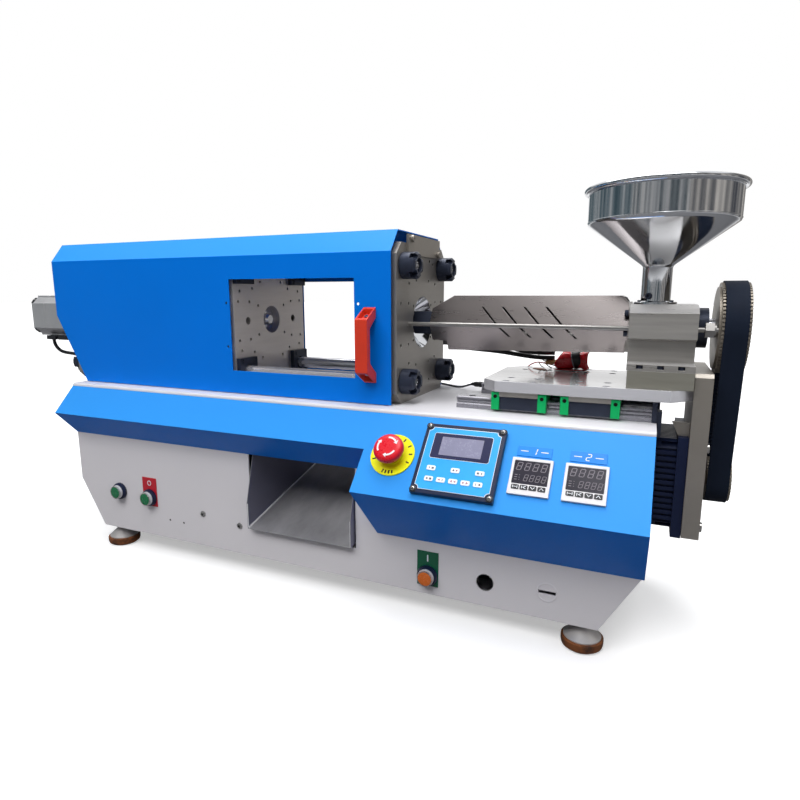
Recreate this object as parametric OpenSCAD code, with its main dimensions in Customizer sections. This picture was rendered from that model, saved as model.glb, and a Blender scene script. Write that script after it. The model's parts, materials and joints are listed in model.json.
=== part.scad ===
// Desktop injection moulding machine: a folded cabinet on levelling feet carries a
// three-platen clamp unit under a sliding hood, and a railed injection carriage with
// a heated barrel, a hopper and a belt-driven plasticising screw.
//
// X runs along the mould axis, Y from the operator to the back, Z up. Every module is
// drawn from the outer face of the fixed platen (X), the mould axis plane (Y) and the
// deck surface (Z); at_deck() moves it so that the origin is under the middle of the
// whole machine, on the surface that it stands on.

/* [Cabinet] */
// Length of the cabinet
cab_l = 958; // [950:1:1160]
// Depth of the cabinet from front panel to back panel
cab_d = 260; // [240:1:320]
// Height from the underside of the cabinet to the deck surface
cab_h = 260; // [240:1:320]
// Rise of the slanted corner at each bottom end
corner_rise = 84; // [60:1:100]
// Run of the slanted corner at each bottom end
corner_run = 49; // [30:1:70]
// Thickness of the cabinet sheet
sheet = 2; // [1.5:0.5:3]
// Thickness of the deck plate
deck_t = 10; // [8:1:14]
// Radius of the deck's front and back edges
deck_r = 4; // [2:1:6]
// Distance from the fixed platen's outer face to the cabinet's right end
face_to_right = 338; // [335:1:345]
// Width of the ejection opening in the front panel
chute_w = 188; // [160:1:220]
// Height of the ejection opening below the deck surface, at its top
chute_top = 88; // [80:1:95]
// Height of the ejection opening below the deck surface, at its bottom
chute_bottom = 212; // [195:1:225]
// Slope of the chute's floor
chute_slope = 14; // [10:1:16]

/* [Feet] */
// Height of each foot under the cabinet
foot_h = 37; // [30:1:50]
// Radius of the rubber pad
pad_r = 27; // [20:0.5:32]
// Distance from the bottom corner of the cabinet to a foot's centre, along X
foot_in_x = 20; // [18:1:60]
// Distance from a panel to a foot's centre, along Y
foot_in_y = 22; // [18:1:60]

/* [Console] */
// Slope of the console's face from the horizontal
slope = 47; // [40:1:50]
// How far the narrow part stands out from the front panel
apron_out = 39.5; // [30:0.5:50]
// How far the wide part stands out from the front panel
console_out = 82.5; // [75:0.5:95]
// Length of the wide part
console_l = 355; // [340:1:380]
// Thickness of the console's sheet
console_t = 1.5; // [1:0.5:2]
// Drop of the console's top edge below the deck surface
console_drop = 5; // [4:1:8]

/* [Clamp unit] */
// Width of a platen
platen_w = 198; // [180:1:220]
// Height of the fixed platen and of the rear platen
platen_h = 227; // [215:1:240]
// Thickness of each platen
platen_t = 35; // [25:1:45]
// Chamfer at a platen's corners
platen_c = 16; // [8:1:18]
// Height of the mould axis above the deck
axis_h = 113.5; // [105:0.5:125]
// Half distance between the tie bars across the machine
bar_y = 75.5; // [70:0.5:80]
// Half distance between the tie bars from top to bottom
bar_z = 81.5; // [78:0.5:86]
// Diameter of a tie bar
bar_d = 20; // [16:0.5:24]
// Distance from the fixed platen's outer face to the moving platen's face, mould open
mould_open = 279; // [260:1:300]
// Stroke of the moving platen
stroke = 140; // [100:1:160]
// Distance from the fixed platen's outer face to the rear platen's inner face
rear_in = 605; // [590:1:620]
// Diameter of the ball screw
screw_d = 20; // [16:1:25]
// Side of the clamp motor's square body
motor_s = 80; // [70:1:86]
// Length of the clamp motor's body
motor_l = 138; // [110:1:160]

/* [Hood] */
// Distance from the fixed platen's outer face to the hood's left end
hood_left = 675; // [650:1:690]
// Distance from the fixed platen's outer face to the hood's right end
hood_right = 5.5; // [3:0.5:12]
// Outer width of the hood
hood_w = 212.5; // [200:0.5:250]
// Height of the hood's top above the deck
hood_h = 244; // [240:1:270]
// Width of the bevel between roof and wall, along Y
bevel_y = 24.5; // [15:0.5:30]
// Height of the bevel between roof and wall, along Z
bevel_z = 30.5; // [20:0.5:35]
// Thickness of the hood's sheet
hood_t = 1.5; // [1:0.5:2]
// Travel of the hood towards the clamp motor
hood_travel = 200; // [150:5:220]

/* [Injection unit] */
// Half distance between the two rails
rail_y = 65; // [58:0.5:68]
// Distance of the rails' left end from the platen face
rail_x = 81; // [70:1:90]
// Length of a rail
rail_l = 251; // [245:1:255]
// Length of the carriage plate
plate_l = 257.5; // [250:0.5:270]
// Width of the carriage plate
plate_w = 180; // [176:1:190]
// Thickness of the carriage plate
plate_t = 14.1; // [12:0.1:20]
// Distance of the carriage plate's left end from the platen face
plate_x = 118.5; // [110:0.5:120]
// Gap between the rod nuts and the feed block, which is the carriage's travel
nozzle_stroke = 8; // [5:0.5:9]
// Outer diameter of the barrel
barrel_d = 38; // [34:1:42]
// Bore of the barrel
bore_d = 20; // [16:1:24]
// Diameter of the hopper's rolled rim
rim_d = 192; // [160:1:220]
// Teeth on the screw's pulley
big_teeth = 72; // [60:2:76]
// Teeth on the motor's pulley
small_teeth = 36; // [30:2:40]
// Belt pitch
belt_p = 5; // [5:1:5]
// Width of the belt
belt_w = 25; // [20:1:25]
// Side of the injection motor's flange
servo_s = 130; // [110:1:130]
// Length of the injection motor's finned body
servo_l = 165; // [120:1:180]

/* [Hidden] */
$fn = 48;

// Gaps that the pieces share
seat = 0.3;          // gap between a piece and its neighbour on another body
run_fit = 0.05;      // radial clearance of a running fit

// Cabinet
cab_left = face_to_right - cab_l;
cab_right = face_to_right;
front_y = -cab_d / 2;
corner_z = corner_rise - cab_h;
opening_x = -240;
drop_x0 = -266;
drop_x1 = -64;
drop_y = 50;
chute_out = 12;
chute_lip_z = -chute_bottom + 4;
chute_t = 1.2;

// Clamp
moving_x = -mould_open;
rear_x = -rear_in - platen_t;
bar_r = bar_d / 2;
nut_r = 18.5;
nut_l = 24;
bush_r = 16;
retain_w = 44;
retain_h = 46;
retain_t = 7;
bore_y = 23;
bracket_l = 60;
motor_x = rear_x - bracket_l;
foot_gap = 3;
bearing_r = 30;

// Injection unit
rail_w = 20;
rail_h = 16.5;
block_w = 44;
block_h = 28.5;
block_l = 72;
block_lift = 4;
block_gap = 18;
blocks_x = 133.2;
cap_l = 10.6;
plate_z = block_h;
plate_top = plate_z + plate_t;
plate_end = plate_x + plate_l;
riser_w = 164;
riser_t = 21.4;
feed_x = 298;
feed_end = 375;
flange_z = plate_top + riser_t;
flange_t = 8;
feed_half = 65;
rod_y = 54;
rod_r = 3;
hopper_x = 326;
barrel_x = 29;
thrust_l = 14;
belt_x = 403;
pulley_x = 400;
pulley_l = 31;
pulley_face = 2.6;
rod_end = pulley_x - 3;
motor_plate_t = 20;
motor_plate_w = 146;
motor_plate_top = 62.5;
motor_plate_bevel = 4.5;
servo_z = -83;
flange_servo_t = 12;
motor_plate_bottom = servo_z - servo_s / 2 + 4;
big_r = big_teeth * belt_p / 2 / PI - 0.57;
small_r = small_teeth * belt_p / 2 / PI - 0.57;
belt_gap = 0.3;
belt_t = 1.9;
cover_af = 40.5;
cover_x1 = 297;
cover_t = 1.5;
cover_low = 38.5;
cover_rise = 5.5;
ear_r = 5;
ear_at = [18.5, -6.3];

// Panel fittings
panel_hole_r = 11.25;
estop_x = 26.5;
estop_s = 62;
panel_x = 117.5;
panel_s = 62.5;
panel_w = 104;
panel_h = 98;
panel_t = 8;
controller_xs = [206, 268];
controller_s = 70.5;
controller_w = 48;
button_xs = [-524, -453, 61];
button_zs = [-188.5, -190.5, -231];

// The whole machine's reach, which sets the origin under its middle
left_reach = -motor_x + motor_l + 11;
right_reach = pulley_x + pulley_l;
front_reach = cab_d / 2 + console_out;
back_reach = cab_d / 2 - foot_in_y + pad_r;
face_x = (left_reach - right_reach) / 2;
axis_y = (front_reach - max(back_reach, cab_d / 2)) / 2;
deck_z = cab_h + foot_h;

// Moves a module from the deck's frame to the machine's own origin
module at_deck() translate([face_x, axis_y, deck_z]) children();

// Lays a module on the console's sloping face: local X along the machine, local Y up
// the slope and local Z outwards, with s the distance down the slope
module on_slope(x, s)
    translate([x, front_y - s * cos(slope), -console_drop - s * sin(slope)])
        rotate([slope, 0, 0]) children();

// Stands a module on the front panel: local Z points at the operator
module on_front(x, z) translate([x, front_y, z]) rotate([90, 0, 0]) children();

// A cylinder along +X
module rod_x(x, y, z, length, r) translate([x, y, z]) rotate([0, 90, 0]) cylinder(h = length, r = r);

// A box given by its low corner and its size
module slab(corner, size) translate(corner) cube(size);

// A plate in the YZ plane, extruded along +X
module plate_x_dir(x, t) translate([x, 0, 0]) rotate([90, 0, 90]) linear_extrude(t) children();

// Four copies at the tie bars
module at_bars() for (sy = [-1, 1], sz = [-1, 1]) translate([0, sy * bar_y, axis_h + sz * bar_z]) children();

// A hexagonal prism along +X, with flats up and down
module hex_x(x, y, z, length, af)
    translate([x, y, z]) rotate([0, 90, 0]) rotate([0, 0, 90])
        cylinder(h = length, r = af / 2 / cos(30), $fn = 6);

// A round tube swept along hand-picked points, as one polyhedron
function unit(v) = v / norm(v);
function heading(p, i) =
    i == 0 ? unit(p[1] - p[0]) :
    i == len(p) - 1 ? unit(p[i] - p[i - 1]) : unit(p[i + 1] - p[i - 1]);
function side_of(t) = unit(cross(t, abs(t.z) < 0.9 ? [0, 0, 1] : [1, 0, 0]));
module tube(points, r, sides = 8) {
    rings = len(points);
    vertices = [for (i = [0:rings - 1])
        let (t = heading(points, i), a = side_of(t), b = cross(t, a))
        for (k = [0:sides - 1]) points[i] + r * (cos(360 * k / sides) * a + sin(360 * k / sides) * b)];
    walls = [for (i = [0:rings - 2], k = [0:sides - 1])
        let (n = (k + 1) % sides)
        [i * sides + k, (i + 1) * sides + k, (i + 1) * sides + n, i * sides + n]];
    ends = [[for (k = [0:sides - 1]) k], [for (k = [sides - 1:-1:0]) (rings - 1) * sides + k]];
    polyhedron(vertices, concat(walls, ends), convexity = 4);
}

// ---------------------------------------------------------------- cabinet

// Corner moved inwards by d, where the two edges' inward normals are n1 and n2
function inset(p, n1, n2, d) = p + d * (n1 + n2) / (1 + n1 * n2);
corner_len = norm([corner_run, corner_rise]);
left_normal = [corner_rise, corner_run] / corner_len;
right_normal = [-corner_rise, corner_run] / corner_len;
function cabinet_outline(d, top) = [
    [cab_left + d, top],
    inset([cab_left, corner_z], [1, 0], left_normal, d),
    inset([cab_left + corner_run, -cab_h], left_normal, [0, 1], d),
    inset([cab_right - corner_run, -cab_h], right_normal, [0, 1], d),
    inset([cab_right, corner_z], [-1, 0], right_normal, d),
    [cab_right - d, top]];

// The cabinet's end outline, extruded from y0 to y1
module across(y0, y1, outline) translate([0, y1, 0]) rotate([90, 0, 0]) linear_extrude(y1 - y0) polygon(outline);

module base_cabinet() color("gainsboro") difference() {
    across(front_y, -front_y, cabinet_outline(0, -deck_t));
    across(front_y + sheet, -front_y - sheet, cabinet_outline(sheet, 0));
    // ejection opening
    slab([opening_x, front_y - 1, -chute_bottom], [chute_w, sheet + 2, chute_bottom - chute_top]);
    // bay for the injection motor in the right end
    slab([cab_right - 10, -servo_s / 2 - 6, servo_z - servo_s / 2 - 6], [20, servo_s + 12, servo_s + 66]);
    // push-button holes, the spare hole and the knock-out
    for (i = [0:2]) on_front(button_xs[i], button_zs[i]) translate([0, 0, -4]) cylinder(h = 8, r = panel_hole_r);
    on_front(142.8, -225.2) translate([0, 0, -4]) cylinder(h = 8, r = panel_hole_r);
    on_front(224.8, -222.5) translate([-11, -2.2, -4]) cube([22, 4.4, 8]);
    // wire slots behind the console
    slab([panel_x - 40, front_y - 1, -92], [80, sheet + 2, 72]);
    slab([controller_xs[0] - 26, front_y - 1, -92], [controller_xs[1] - controller_xs[0] + 52, sheet + 2, 60]);
    slab([estop_x - 14, front_y - 1, -96], [28, sheet + 2, 40]);
    // plain fixing holes
    for (p = [[-412, -226], [-381.7, -226.5]]) on_front(p.x, p.y) translate([0, 0, -4]) cylinder(h = 8, r = 2);
    for (p = [[-337.8, -203.3], [-262.9, -211.8]]) on_front(p.x, p.y) translate([0, 0, -4]) cylinder(h = 8, r = 3);
    // foot studs
    for (x = foot_xs, sy = [-1, 1]) translate([x, sy * foot_y, -cab_h - 1]) cylinder(h = sheet + 2, r = 5.1);
    // cooling slots in the back panel
    for (i = [0:11], z = [-150, -105]) slab([-80 + i * 12, -front_y - sheet - 1, z], [5, sheet + 2, 34]);
}

module deck_plate() color("whitesmoke") difference() {
    translate([cab_left, 0, 0]) rotate([90, 0, 90]) linear_extrude(cab_l) union() {
        translate([front_y, -deck_t]) square([cab_d, deck_t - deck_r]);
        translate([front_y + deck_r, -deck_t]) square([cab_d - 2 * deck_r, deck_t]);
        for (s = [-1, 1]) translate([s * (cab_d / 2 - deck_r), -deck_r]) circle(r = deck_r);
    }
    slab([drop_x0, -drop_y, -deck_t - 1], [drop_x1 - drop_x0, 2 * drop_y, deck_t + 2]);
    // cable hole behind the fixed platen
    translate([sensor_points[0].x, sensor_points[0].y, -deck_t - 1]) cylinder(h = deck_t + 2, r = 5);
}

foot_xs = [cab_left + corner_run + foot_in_x, cab_right - corner_run - foot_in_x];
foot_y = cab_d / 2 - foot_in_y;
pad_h = 14;

module levelling_feet() color("silver") for (x = foot_xs, sy = [-1, 1]) translate([x, sy * foot_y, -cab_h]) {
    translate([0, 0, -foot_h + pad_h]) rotate_extrude() polygon([
        [0, 0], [pad_r - 3, 0], [pad_r - 3, 1.5], [9, foot_h - pad_h - 8], [9, foot_h - pad_h], [0, foot_h - pad_h]]);
    translate([0, 0, -0.01]) cylinder(h = 18, r = 5);
    translate([0, 0, sheet + 0.3]) cylinder(h = 6, r = 9, $fn = 6);
}

module foot_pads() color("dimgray") for (x = foot_xs, sy = [-1, 1]) translate([x, sy * foot_y, -cab_h - foot_h])
    rotate_extrude() polygon([
        [0, 0], [pad_r - 5, 0], [pad_r - 1, 3], [pad_r, 7], [pad_r, pad_h - 1], [pad_r - 2, pad_h], [0, pad_h]]);

// Console profile at a given reach, as Y and Z
function wedge(out, d) = [
    [front_y, -console_drop - d * 1.41],
    [front_y - out + d * 1.41, -console_drop - out * tan(slope)],
    [front_y, -console_drop - 2 * out * tan(slope) + d * 1.41]];
module wedge_run(x0, x1, out, d)
    translate([x0, 0, 0]) rotate([90, 0, 90]) linear_extrude(x1 - x0) polygon(wedge(out, d));

console_x0 = cab_right - console_l;
module console_cover() color("dodgerblue") difference() {
    union() {
        wedge_run(cab_left, console_x0 + console_t, apron_out, 0);
        wedge_run(console_x0, cab_right, console_out, 0);
    }
    wedge_run(cab_left + console_t, console_x0 + 1, apron_out, console_t);
    wedge_run(console_x0 + console_t, cab_right - console_t, console_out, console_t);
    // openings for the emergency stop, the panel and the two controllers
    on_slope(estop_x, estop_s) translate([0, 0, -6]) cylinder(h = 12, r = panel_hole_r);
    on_slope(panel_x, panel_s) slab([-38, -38, -6], [76, 76, 12]);
    for (x = controller_xs) on_slope(x, controller_s) slab([-22.5, -22.5, -6], [45, 45, 12]);
}

// The chute is a folded tray: floor, two side walls and a lip, sloping to the front
chute_y0 = front_y - chute_out;
chute_y1 = -front_y - sheet;
chute_x0 = opening_x + 2;
chute_x1 = opening_x + chute_w - 2;
function floor_z(y) = chute_lip_z + (y - chute_y0) * tan(chute_slope);
function chute_side(lift) = [
    [chute_y0, chute_lip_z + lift], [chute_y1, floor_z(chute_y1) + lift],
    [chute_y1, -chute_top - 3], [front_y + 8, -chute_top - 3], [chute_y0, chute_lip_z + 42]];
module chute() color("silver") difference() {
    plate_x_dir(chute_x0, chute_x1 - chute_x0) polygon(chute_side(0));
    plate_x_dir(chute_x0 + chute_t, chute_x1 - chute_x0 - 2 * chute_t)
        polygon([[chute_y0 - 1, floor_z(chute_y0 - 1) + chute_t], [chute_y1 - chute_t, floor_z(chute_y1) + chute_t],
            [chute_y1 - chute_t, 0], [chute_y0 - 1, 0]]);
}

// Two servo drives and a power supply on the cabinet's floor
drives = [[-520, 10, 120, 90, 130], [-380, 10, 60, 90, 120], [40, -60, 90, 90, 70]];
module drive_units() color("#3a3a40") for (d = drives) difference() {
    slab([d[0], d[1], -cab_h + sheet], [d[2], d[3], d[4]]);
    for (i = [1:5]) slab([d[0] + i * d[2] / 6 - 2, d[1] - 1, -cab_h + sheet + 10], [4, 7, d[4] - 20]);
}

// ---------------------------------------------------------------- clamp unit

// A platen's outline in YZ, standing at z0
module platen_outline(z0, z1) polygon([
    [-platen_w / 2 + platen_c, z0], [platen_w / 2 - platen_c, z0], [platen_w / 2, z0 + platen_c],
    [platen_w / 2, z1 - platen_c], [platen_w / 2 - platen_c, z1], [-platen_w / 2 + platen_c, z1],
    [-platen_w / 2, z1 - platen_c], [-platen_w / 2, z0 + platen_c]]);

// Mould-mounting holes: offsets from the mould axis in one quadrant
fixed_holes = [[26.5, 62.5], [54, 58], [55.5, 29.5], [83.5, 29.5], [36, 25], [28.5, 92], [44, 88]];
moving_holes = [[29, 63], [50.5, 52], [59, 30.5], [87, 31], [36.5, 24], [82.5, 47.5]];
module hole_grid(holes, r) for (h = holes, sy = [-1, 1], sz = [-1, 1])
    translate([sy * h.x, axis_h + sz * h.y]) circle(r = r, $fn = 24);

module fixed_platen() color("darkgray") difference() {
    plate_x_dir(-platen_t, platen_t) difference() {
        platen_outline(0, platen_h);
        hole_grid(fixed_holes, 2.5);
        at_bars_flat() circle(r = bar_r + run_fit);
        for (s = [-1, 1]) translate([s * rod_y, axis_h]) circle(r = rod_r + run_fit);
    }
    // register bore on the mould side and the nozzle's cone on the outside
    rod_x(-platen_t - 1, 0, axis_h, platen_t + 2, 15);
    rod_x(-platen_t - 1, 0, axis_h, 9, 30);
    translate([-20, 0, axis_h]) rotate([0, 90, 0]) cylinder(h = 20.01, r1 = 21, r2 = 39);
}

module at_bars_flat() for (sy = [-1, 1], sz = [-1, 1]) translate([sy * bar_y, axis_h + sz * bar_z]) children();

// Plate that closes the gap between the fixed platen's top and the hood's roof
end_plate_w = 128;
end_plate_z0 = 211;
end_plate_z1 = 239;
end_screws = [[-54, 8], [54, -8]];
module platen_end_plate() color("gray") {
    difference() {
        slab([0, -end_plate_w / 2, end_plate_z0], [4, end_plate_w, end_plate_z1 - end_plate_z0]);
        for (p = end_screws) rod_x(-1, p.x, end_plate_z0 + 14 + p.y, 6, 3);
        at_bars() rod_x(-1, 0, 0, 6, nut_r + 0.5);
    }
    for (p = end_screws) difference() {
        rod_x(0, p.x, end_plate_z0 + 14 + p.y, 8.5, 3);
        hex_x(5.5, p.x, end_plate_z0 + 14 + p.y, 4, 3);
    }
    for (p = end_screws) difference() {
        rod_x(4, p.x, end_plate_z0 + 14 + p.y, 4.5, 5);
        rod_x(3, p.x, end_plate_z0 + 14 + p.y, 6, 3);
    }
}

module rear_platen() color("darkgray") plate_x_dir(rear_x, platen_t) difference() {
    platen_outline(0, platen_h);
    at_bars_flat() circle(r = bar_r + run_fit);
    translate([0, axis_h]) circle(r = 18);
}

bar_x0 = rear_x - nut_l + 4;
module tie_bars() color("silver") at_bars() union() {
    rod_x(bar_x0, 0, 0, nut_l - 6 - bar_x0, bar_r);
    translate([nut_l - 6, 0, 0]) rotate([0, 90, 0]) cylinder(h = 4, r1 = bar_r, r2 = 4);
}

// Slotted round nut that grows along +X from its seat
module slotted_nut() difference() {
    rotate([0, 90, 0]) rotate_extrude() polygon([
        [bar_r + run_fit, 0], [nut_r - 0.8, 0], [nut_r, 0.8], [nut_r, nut_l - 3], [nut_r - 3, nut_l],
        [bar_r + run_fit, nut_l]]);
    for (a = [45:90:359]) rotate([a, 0, 0]) slab([nut_l - 9, -4.5, nut_r - 6.5], [10, 9, 8]);
}
module tie_bar_nuts() color("#16161c") at_bars() {
    slotted_nut();
    translate([rear_x, 0, 0]) mirror([1, 0, 0]) slotted_nut();
}

module screw_bearing() color("dimgray") difference() {
    union() {
        plate_x_dir(rear_x + platen_t, 8) translate([0, axis_h]) circle(r = bearing_r + 8);
        rod_x(rear_x + platen_t, 0, axis_h, 26, bearing_r - 4);
        rod_x(rear_x + 1, 0, axis_h, platen_t, 17.9);
    }
    rod_x(rear_x, 0, axis_h, platen_t + 30, screw_d / 2 + run_fit);
    for (a = [0:60:359]) translate([rear_x + platen_t + 3, bearing_r * cos(a) * 1.1, axis_h + bearing_r * sin(a) * 1.1])
        rotate([0, 90, 0]) cylinder(h = 6, r = 2.8);
}

// Open bracket between the rear platen and the clamp motor
module motor_bracket() color("darkgray") difference() {
    slab([motor_x, -motor_s / 2, axis_h - motor_s / 2], [bracket_l, motor_s, motor_s]);
    rod_x(motor_x - 1, 0, axis_h, bracket_l + 2, 31);
    slab([motor_x + 14, -motor_s, axis_h - 24], [bracket_l - 28, 2 * motor_s, 48]);
}

// The clamp motor's extruded body, with stepped corners
motor_step = 15;
module motor_section(s) polygon([
    [-s + motor_step, -s], [s - motor_step, -s], [s - motor_step, -s + 3], [s - 3, -s + motor_step], [s, -s + motor_step],
    [s, s - motor_step], [s - 3, s - motor_step], [s - motor_step, s - 3], [s - motor_step, s],
    [-s + motor_step, s], [-s + motor_step, s - 3], [-s + 3, s - motor_step], [-s, s - motor_step],
    [-s, -s + motor_step], [-s + 3, -s + motor_step], [-s + motor_step, -s + 3]]);
module clamp_motor() color("darkgray") difference() {
    union() {
        plate_x_dir(motor_x - motor_l, motor_l - 10) translate([0, axis_h]) motor_section(motor_s / 2);
        slab([motor_x - 10, -motor_s / 2, axis_h - motor_s / 2], [10, motor_s, motor_s]);
    }
    rod_x(motor_x - 40, 0, axis_h, 41, 7 + run_fit);
    plate_x_dir(motor_x - motor_l + 36, 1.2) translate([0, axis_h]) difference() {
        square(2 * motor_s, center = true);
        square(motor_s - 2.4, center = true);
    }
}
// Encoder cap on the motor's rear face, and the two connectors under its body
module motor_fittings() color("#1c1c20") {
    translate([motor_x - motor_l, 0, axis_h]) rotate([0, -90, 0]) rotate([0, 0, 45]) intersection() {
        union() {
            cylinder(h = 7, r = 0.96 * motor_s / sqrt(2) - 4, $fn = 4);
            translate([0, 0, 7]) cylinder(h = 4, r1 = 0.96 * motor_s / sqrt(2) - 4, r2 = 30, $fn = 4);
        }
        cylinder(h = 11, r = 44);
    }
    slab([motor_x - 112, -34, axis_h - motor_s / 2 - 8], [26, 20, 8]);
    slab([motor_x - 78, -34, axis_h - motor_s / 2 - 8], [28, 20, 8]);
    rod_x(motor_x - 50, -24, axis_h - motor_s / 2 - 5, 5, 2.6);
}

// The clamp motor's lead runs from its connector down to the deck, under the hood
motor_lead_points = [[-804, -24, 65], [-803, -24, 58], [-799, -24, 51], [-792, -24, 45], [-783, -24, 41],
    [-770, -24, 39], [-755, -24, 38], [-740, -24, 36], [-725, -24, 32], [-712, -24, 26], [-702, -24, 18],
    [-694, -24, 10], [-688, -24, 6], [-680, -24, 4], [-668, -24, 3.6], [-655, -24, 3.6], [-642, -24, 3.6]];
module motor_lead() color("#141418") {
    tube(motor_lead_points, 3.2, 10);
    slab([-664, -31, 0.01], [6, 14, 9]);
}

// Nylon strips on the deck that guide the hood's bottom edges
runner_h = 9;
runner_x0 = -600;
runner_l = 560;
module hood_runners() color("ivory") for (s = [-1, 1]) {
    y = s * (hood_w / 2 - hood_t - seat - 2.5);
    translate([runner_x0, y - 2.5, 0]) cube([runner_l, 5, runner_h]);
}

// ---------------------------------------------------------------- moving platen

module moving_platen() color("darkgray") plate_x_dir(moving_x - platen_t, platen_t) difference() {
    platen_outline(foot_gap, platen_h - foot_gap);
    hole_grid(moving_holes, 2.5);
    at_bars_flat() circle(r = bush_r);
    for (s = [-1, 1]) translate([s * 64, axis_h]) circle(r = 6);
    translate([0, axis_h]) circle(r = bore_y);
}

module bush_retainers() color("#3a3836") at_bars() {
    difference() {
        slab([moving_x, -retain_w / 2, -retain_h / 2], [retain_t, retain_w, retain_h]);
        rod_x(moving_x - 1, 0, 0, retain_t + 2, bar_r + 1.5);
        for (sy = [-1, 1], sz = [-1, 1]) rod_x(moving_x + 3, sy * 17, sz * 17, 5, 4.4);
    }
    for (sy = [-1, 1], sz = [-1, 1]) rod_x(moving_x + 3, sy * 17, sz * 17, 3.2, 4.1);
}

module guide_bushes() color("goldenrod") at_bars() difference() {
    rod_x(moving_x - platen_t - 12, 0, 0, platen_t + 12, bush_r - 0.01);
    rod_x(moving_x - platen_t - 13, 0, 0, platen_t + 14, bar_r + run_fit);
}

ball_nut_l = 46;
module ball_nut() color("silver") difference() {
    union() {
        rod_x(moving_x - platen_t - 10, 0, axis_h, 10, 34);
        rod_x(moving_x - platen_t - ball_nut_l, 0, axis_h, ball_nut_l, 20);
        rod_x(moving_x - platen_t - 1, 0, axis_h, platen_t - 12, bore_y - 0.02);
    }
    rod_x(moving_x - platen_t - ball_nut_l - 1, 0, axis_h, ball_nut_l + platen_t, screw_d / 2 + run_fit);
    for (a = [30:60:359]) translate([moving_x - platen_t - 12, 27 * cos(a), axis_h + 27 * sin(a)])
        rotate([0, 90, 0]) cylinder(h = 5, r = 4.5);
}

module ball_screw() color("silver") {
    rod_x(rear_x - 22, 0, axis_h, moving_x - 6 - (rear_x - 22), screw_d / 2);
    translate([moving_x - 6, 0, axis_h]) rotate([0, 90, 0]) cylinder(h = 3, r1 = screw_d / 2, r2 = screw_d / 2 - 3);
}
module shaft_coupling() color("silver") {
    difference() {
        rod_x(motor_x + 8, 0, axis_h, 44, 20);
        rod_x(rear_x - 22 - run_fit, 0, axis_h, 60, screw_d / 2 + run_fit);
        for (x = [19, 28, 37]) plate_x_dir(motor_x + 8 + x - 3, 1.4) translate([0, axis_h]) difference() {
            circle(r = 24);
            circle(r = 13);
        }
    }
    rod_x(motor_x - 32, 0, axis_h, 44, 7);
}

// ---------------------------------------------------------------- hood

function hood_outline(d) = let (w = hood_w / 2 - d, k = d * 0.42, h = hood_h - d)
    [[-w, 1.2], [-w, hood_h - bevel_z - k * 0.9], [-w + bevel_y - k * 0.6, h], [w - bevel_y + k * 0.6, h],
        [w, hood_h - bevel_z - k * 0.9], [w, 1.2]];
window_x0 = -280.5;
window_x1 = -62;
window_z0 = 37;
window_z1 = 178.5;
hood_cut_z = 118;
hood_cut_x = 64;
module hood() color("#0a63c8") difference() {
    plate_x_dir(-hood_left, hood_left - hood_right) difference() {
        polygon(hood_outline(0));
        polygon(concat([for (p = hood_outline(hood_t)) [p.x, p.y < 2 ? 0 : p.y]]));
    }
    slab([window_x0, -hood_w, window_z0], [window_x1 - window_x0, 2 * hood_w, window_z1 - window_z0]);
    // slanted lower left corner of both walls
    translate([0, hood_w, 0]) rotate([90, 0, 0]) linear_extrude(2 * hood_w)
        polygon([[-hood_left - 1, 0], [-hood_left - 1, hood_cut_z + 2], [-hood_left, hood_cut_z],
            [-hood_left + hood_cut_x, 0]]);
    // four fixing holes beside each window
    for (x = [window_x0 - 6.5, window_x1 + 6], z = [74.5, 142.5])
        translate([x, hood_w, z]) rotate([90, 0, 0]) cylinder(h = 2 * hood_w, r = 2);
}

// Bridge handle that stands off the hood's front, with an open pocket in the outer side of each arm
handle_x = -47;
handle_w = 19;
handle_out = 29;
handle_z = [31.5, 138.5];
grip_z = [49, 122];
handle_t = 2.5;
module handle_side() polygon([
    [0, handle_z[0]], [-handle_out + 1.5, grip_z[0] - 0.9], [-handle_out, grip_z[0] + 1], [-handle_out, grip_z[1] - 1],
    [-handle_out + 1.5, grip_z[1] + 0.9], [0, handle_z[1]], [0, handle_z[1] - 15], [-handle_out + 12, grip_z[1] - 11],
    [-handle_out + 10, grip_z[1] - 14], [-handle_out + 10, grip_z[0] + 14], [-handle_out + 12, grip_z[0] + 11],
    [0, handle_z[0] + 15]]);
// Pocket between an arm's two cheeks, from the grip's corner towards the hood
module arm_pocket(grip, root) {
    along = unit([handle_out, root - grip]);
    inward = root > grip ? [along.y, -along.x] : [-along.y, along.x];
    polygon([for (q = [[4, -2], [29, -2], [27, 8], [7, 8]]) [-handle_out, grip] + q.x * along + q.y * inward]);
}
module hood_handle() color("orangered") translate([0, -hood_w / 2, 0]) difference() {
    plate_x_dir(handle_x, handle_w) handle_side();
    plate_x_dir(handle_x + handle_t, handle_w - 2 * handle_t) {
        arm_pocket(grip_z[0], handle_z[0]);
        arm_pocket(grip_z[1], handle_z[1]);
    }
    // hollow back of the grip
    slab([handle_x + handle_t, -handle_out + 3, grip_z[0] + 14],
        [handle_w - 2 * handle_t, 10, grip_z[1] - grip_z[0] - 28]);
}

// ---------------------------------------------------------------- rails and rods

// Rail section in YZ, with waisted flanks
module rail_section() polygon([
    [-10, 0], [10, 0], [10, 6], [7.5, 8.5], [7.5, 11], [10, 13.5], [10, rail_h - 1], [9, rail_h],
    [-9, rail_h], [-10, rail_h - 1], [-10, 13.5], [-7.5, 11], [-7.5, 8.5], [-10, 6]]);
module linear_rails() color("silver") for (s = [-1, 1]) difference() {
    plate_x_dir(rail_x, rail_l) translate([s * rail_y, 0]) rail_section();
    for (x = [20:52.7:rail_l]) translate([rail_x + x, s * rail_y, rail_h - 5]) cylinder(h = 6, r = 4.6);
}

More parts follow.
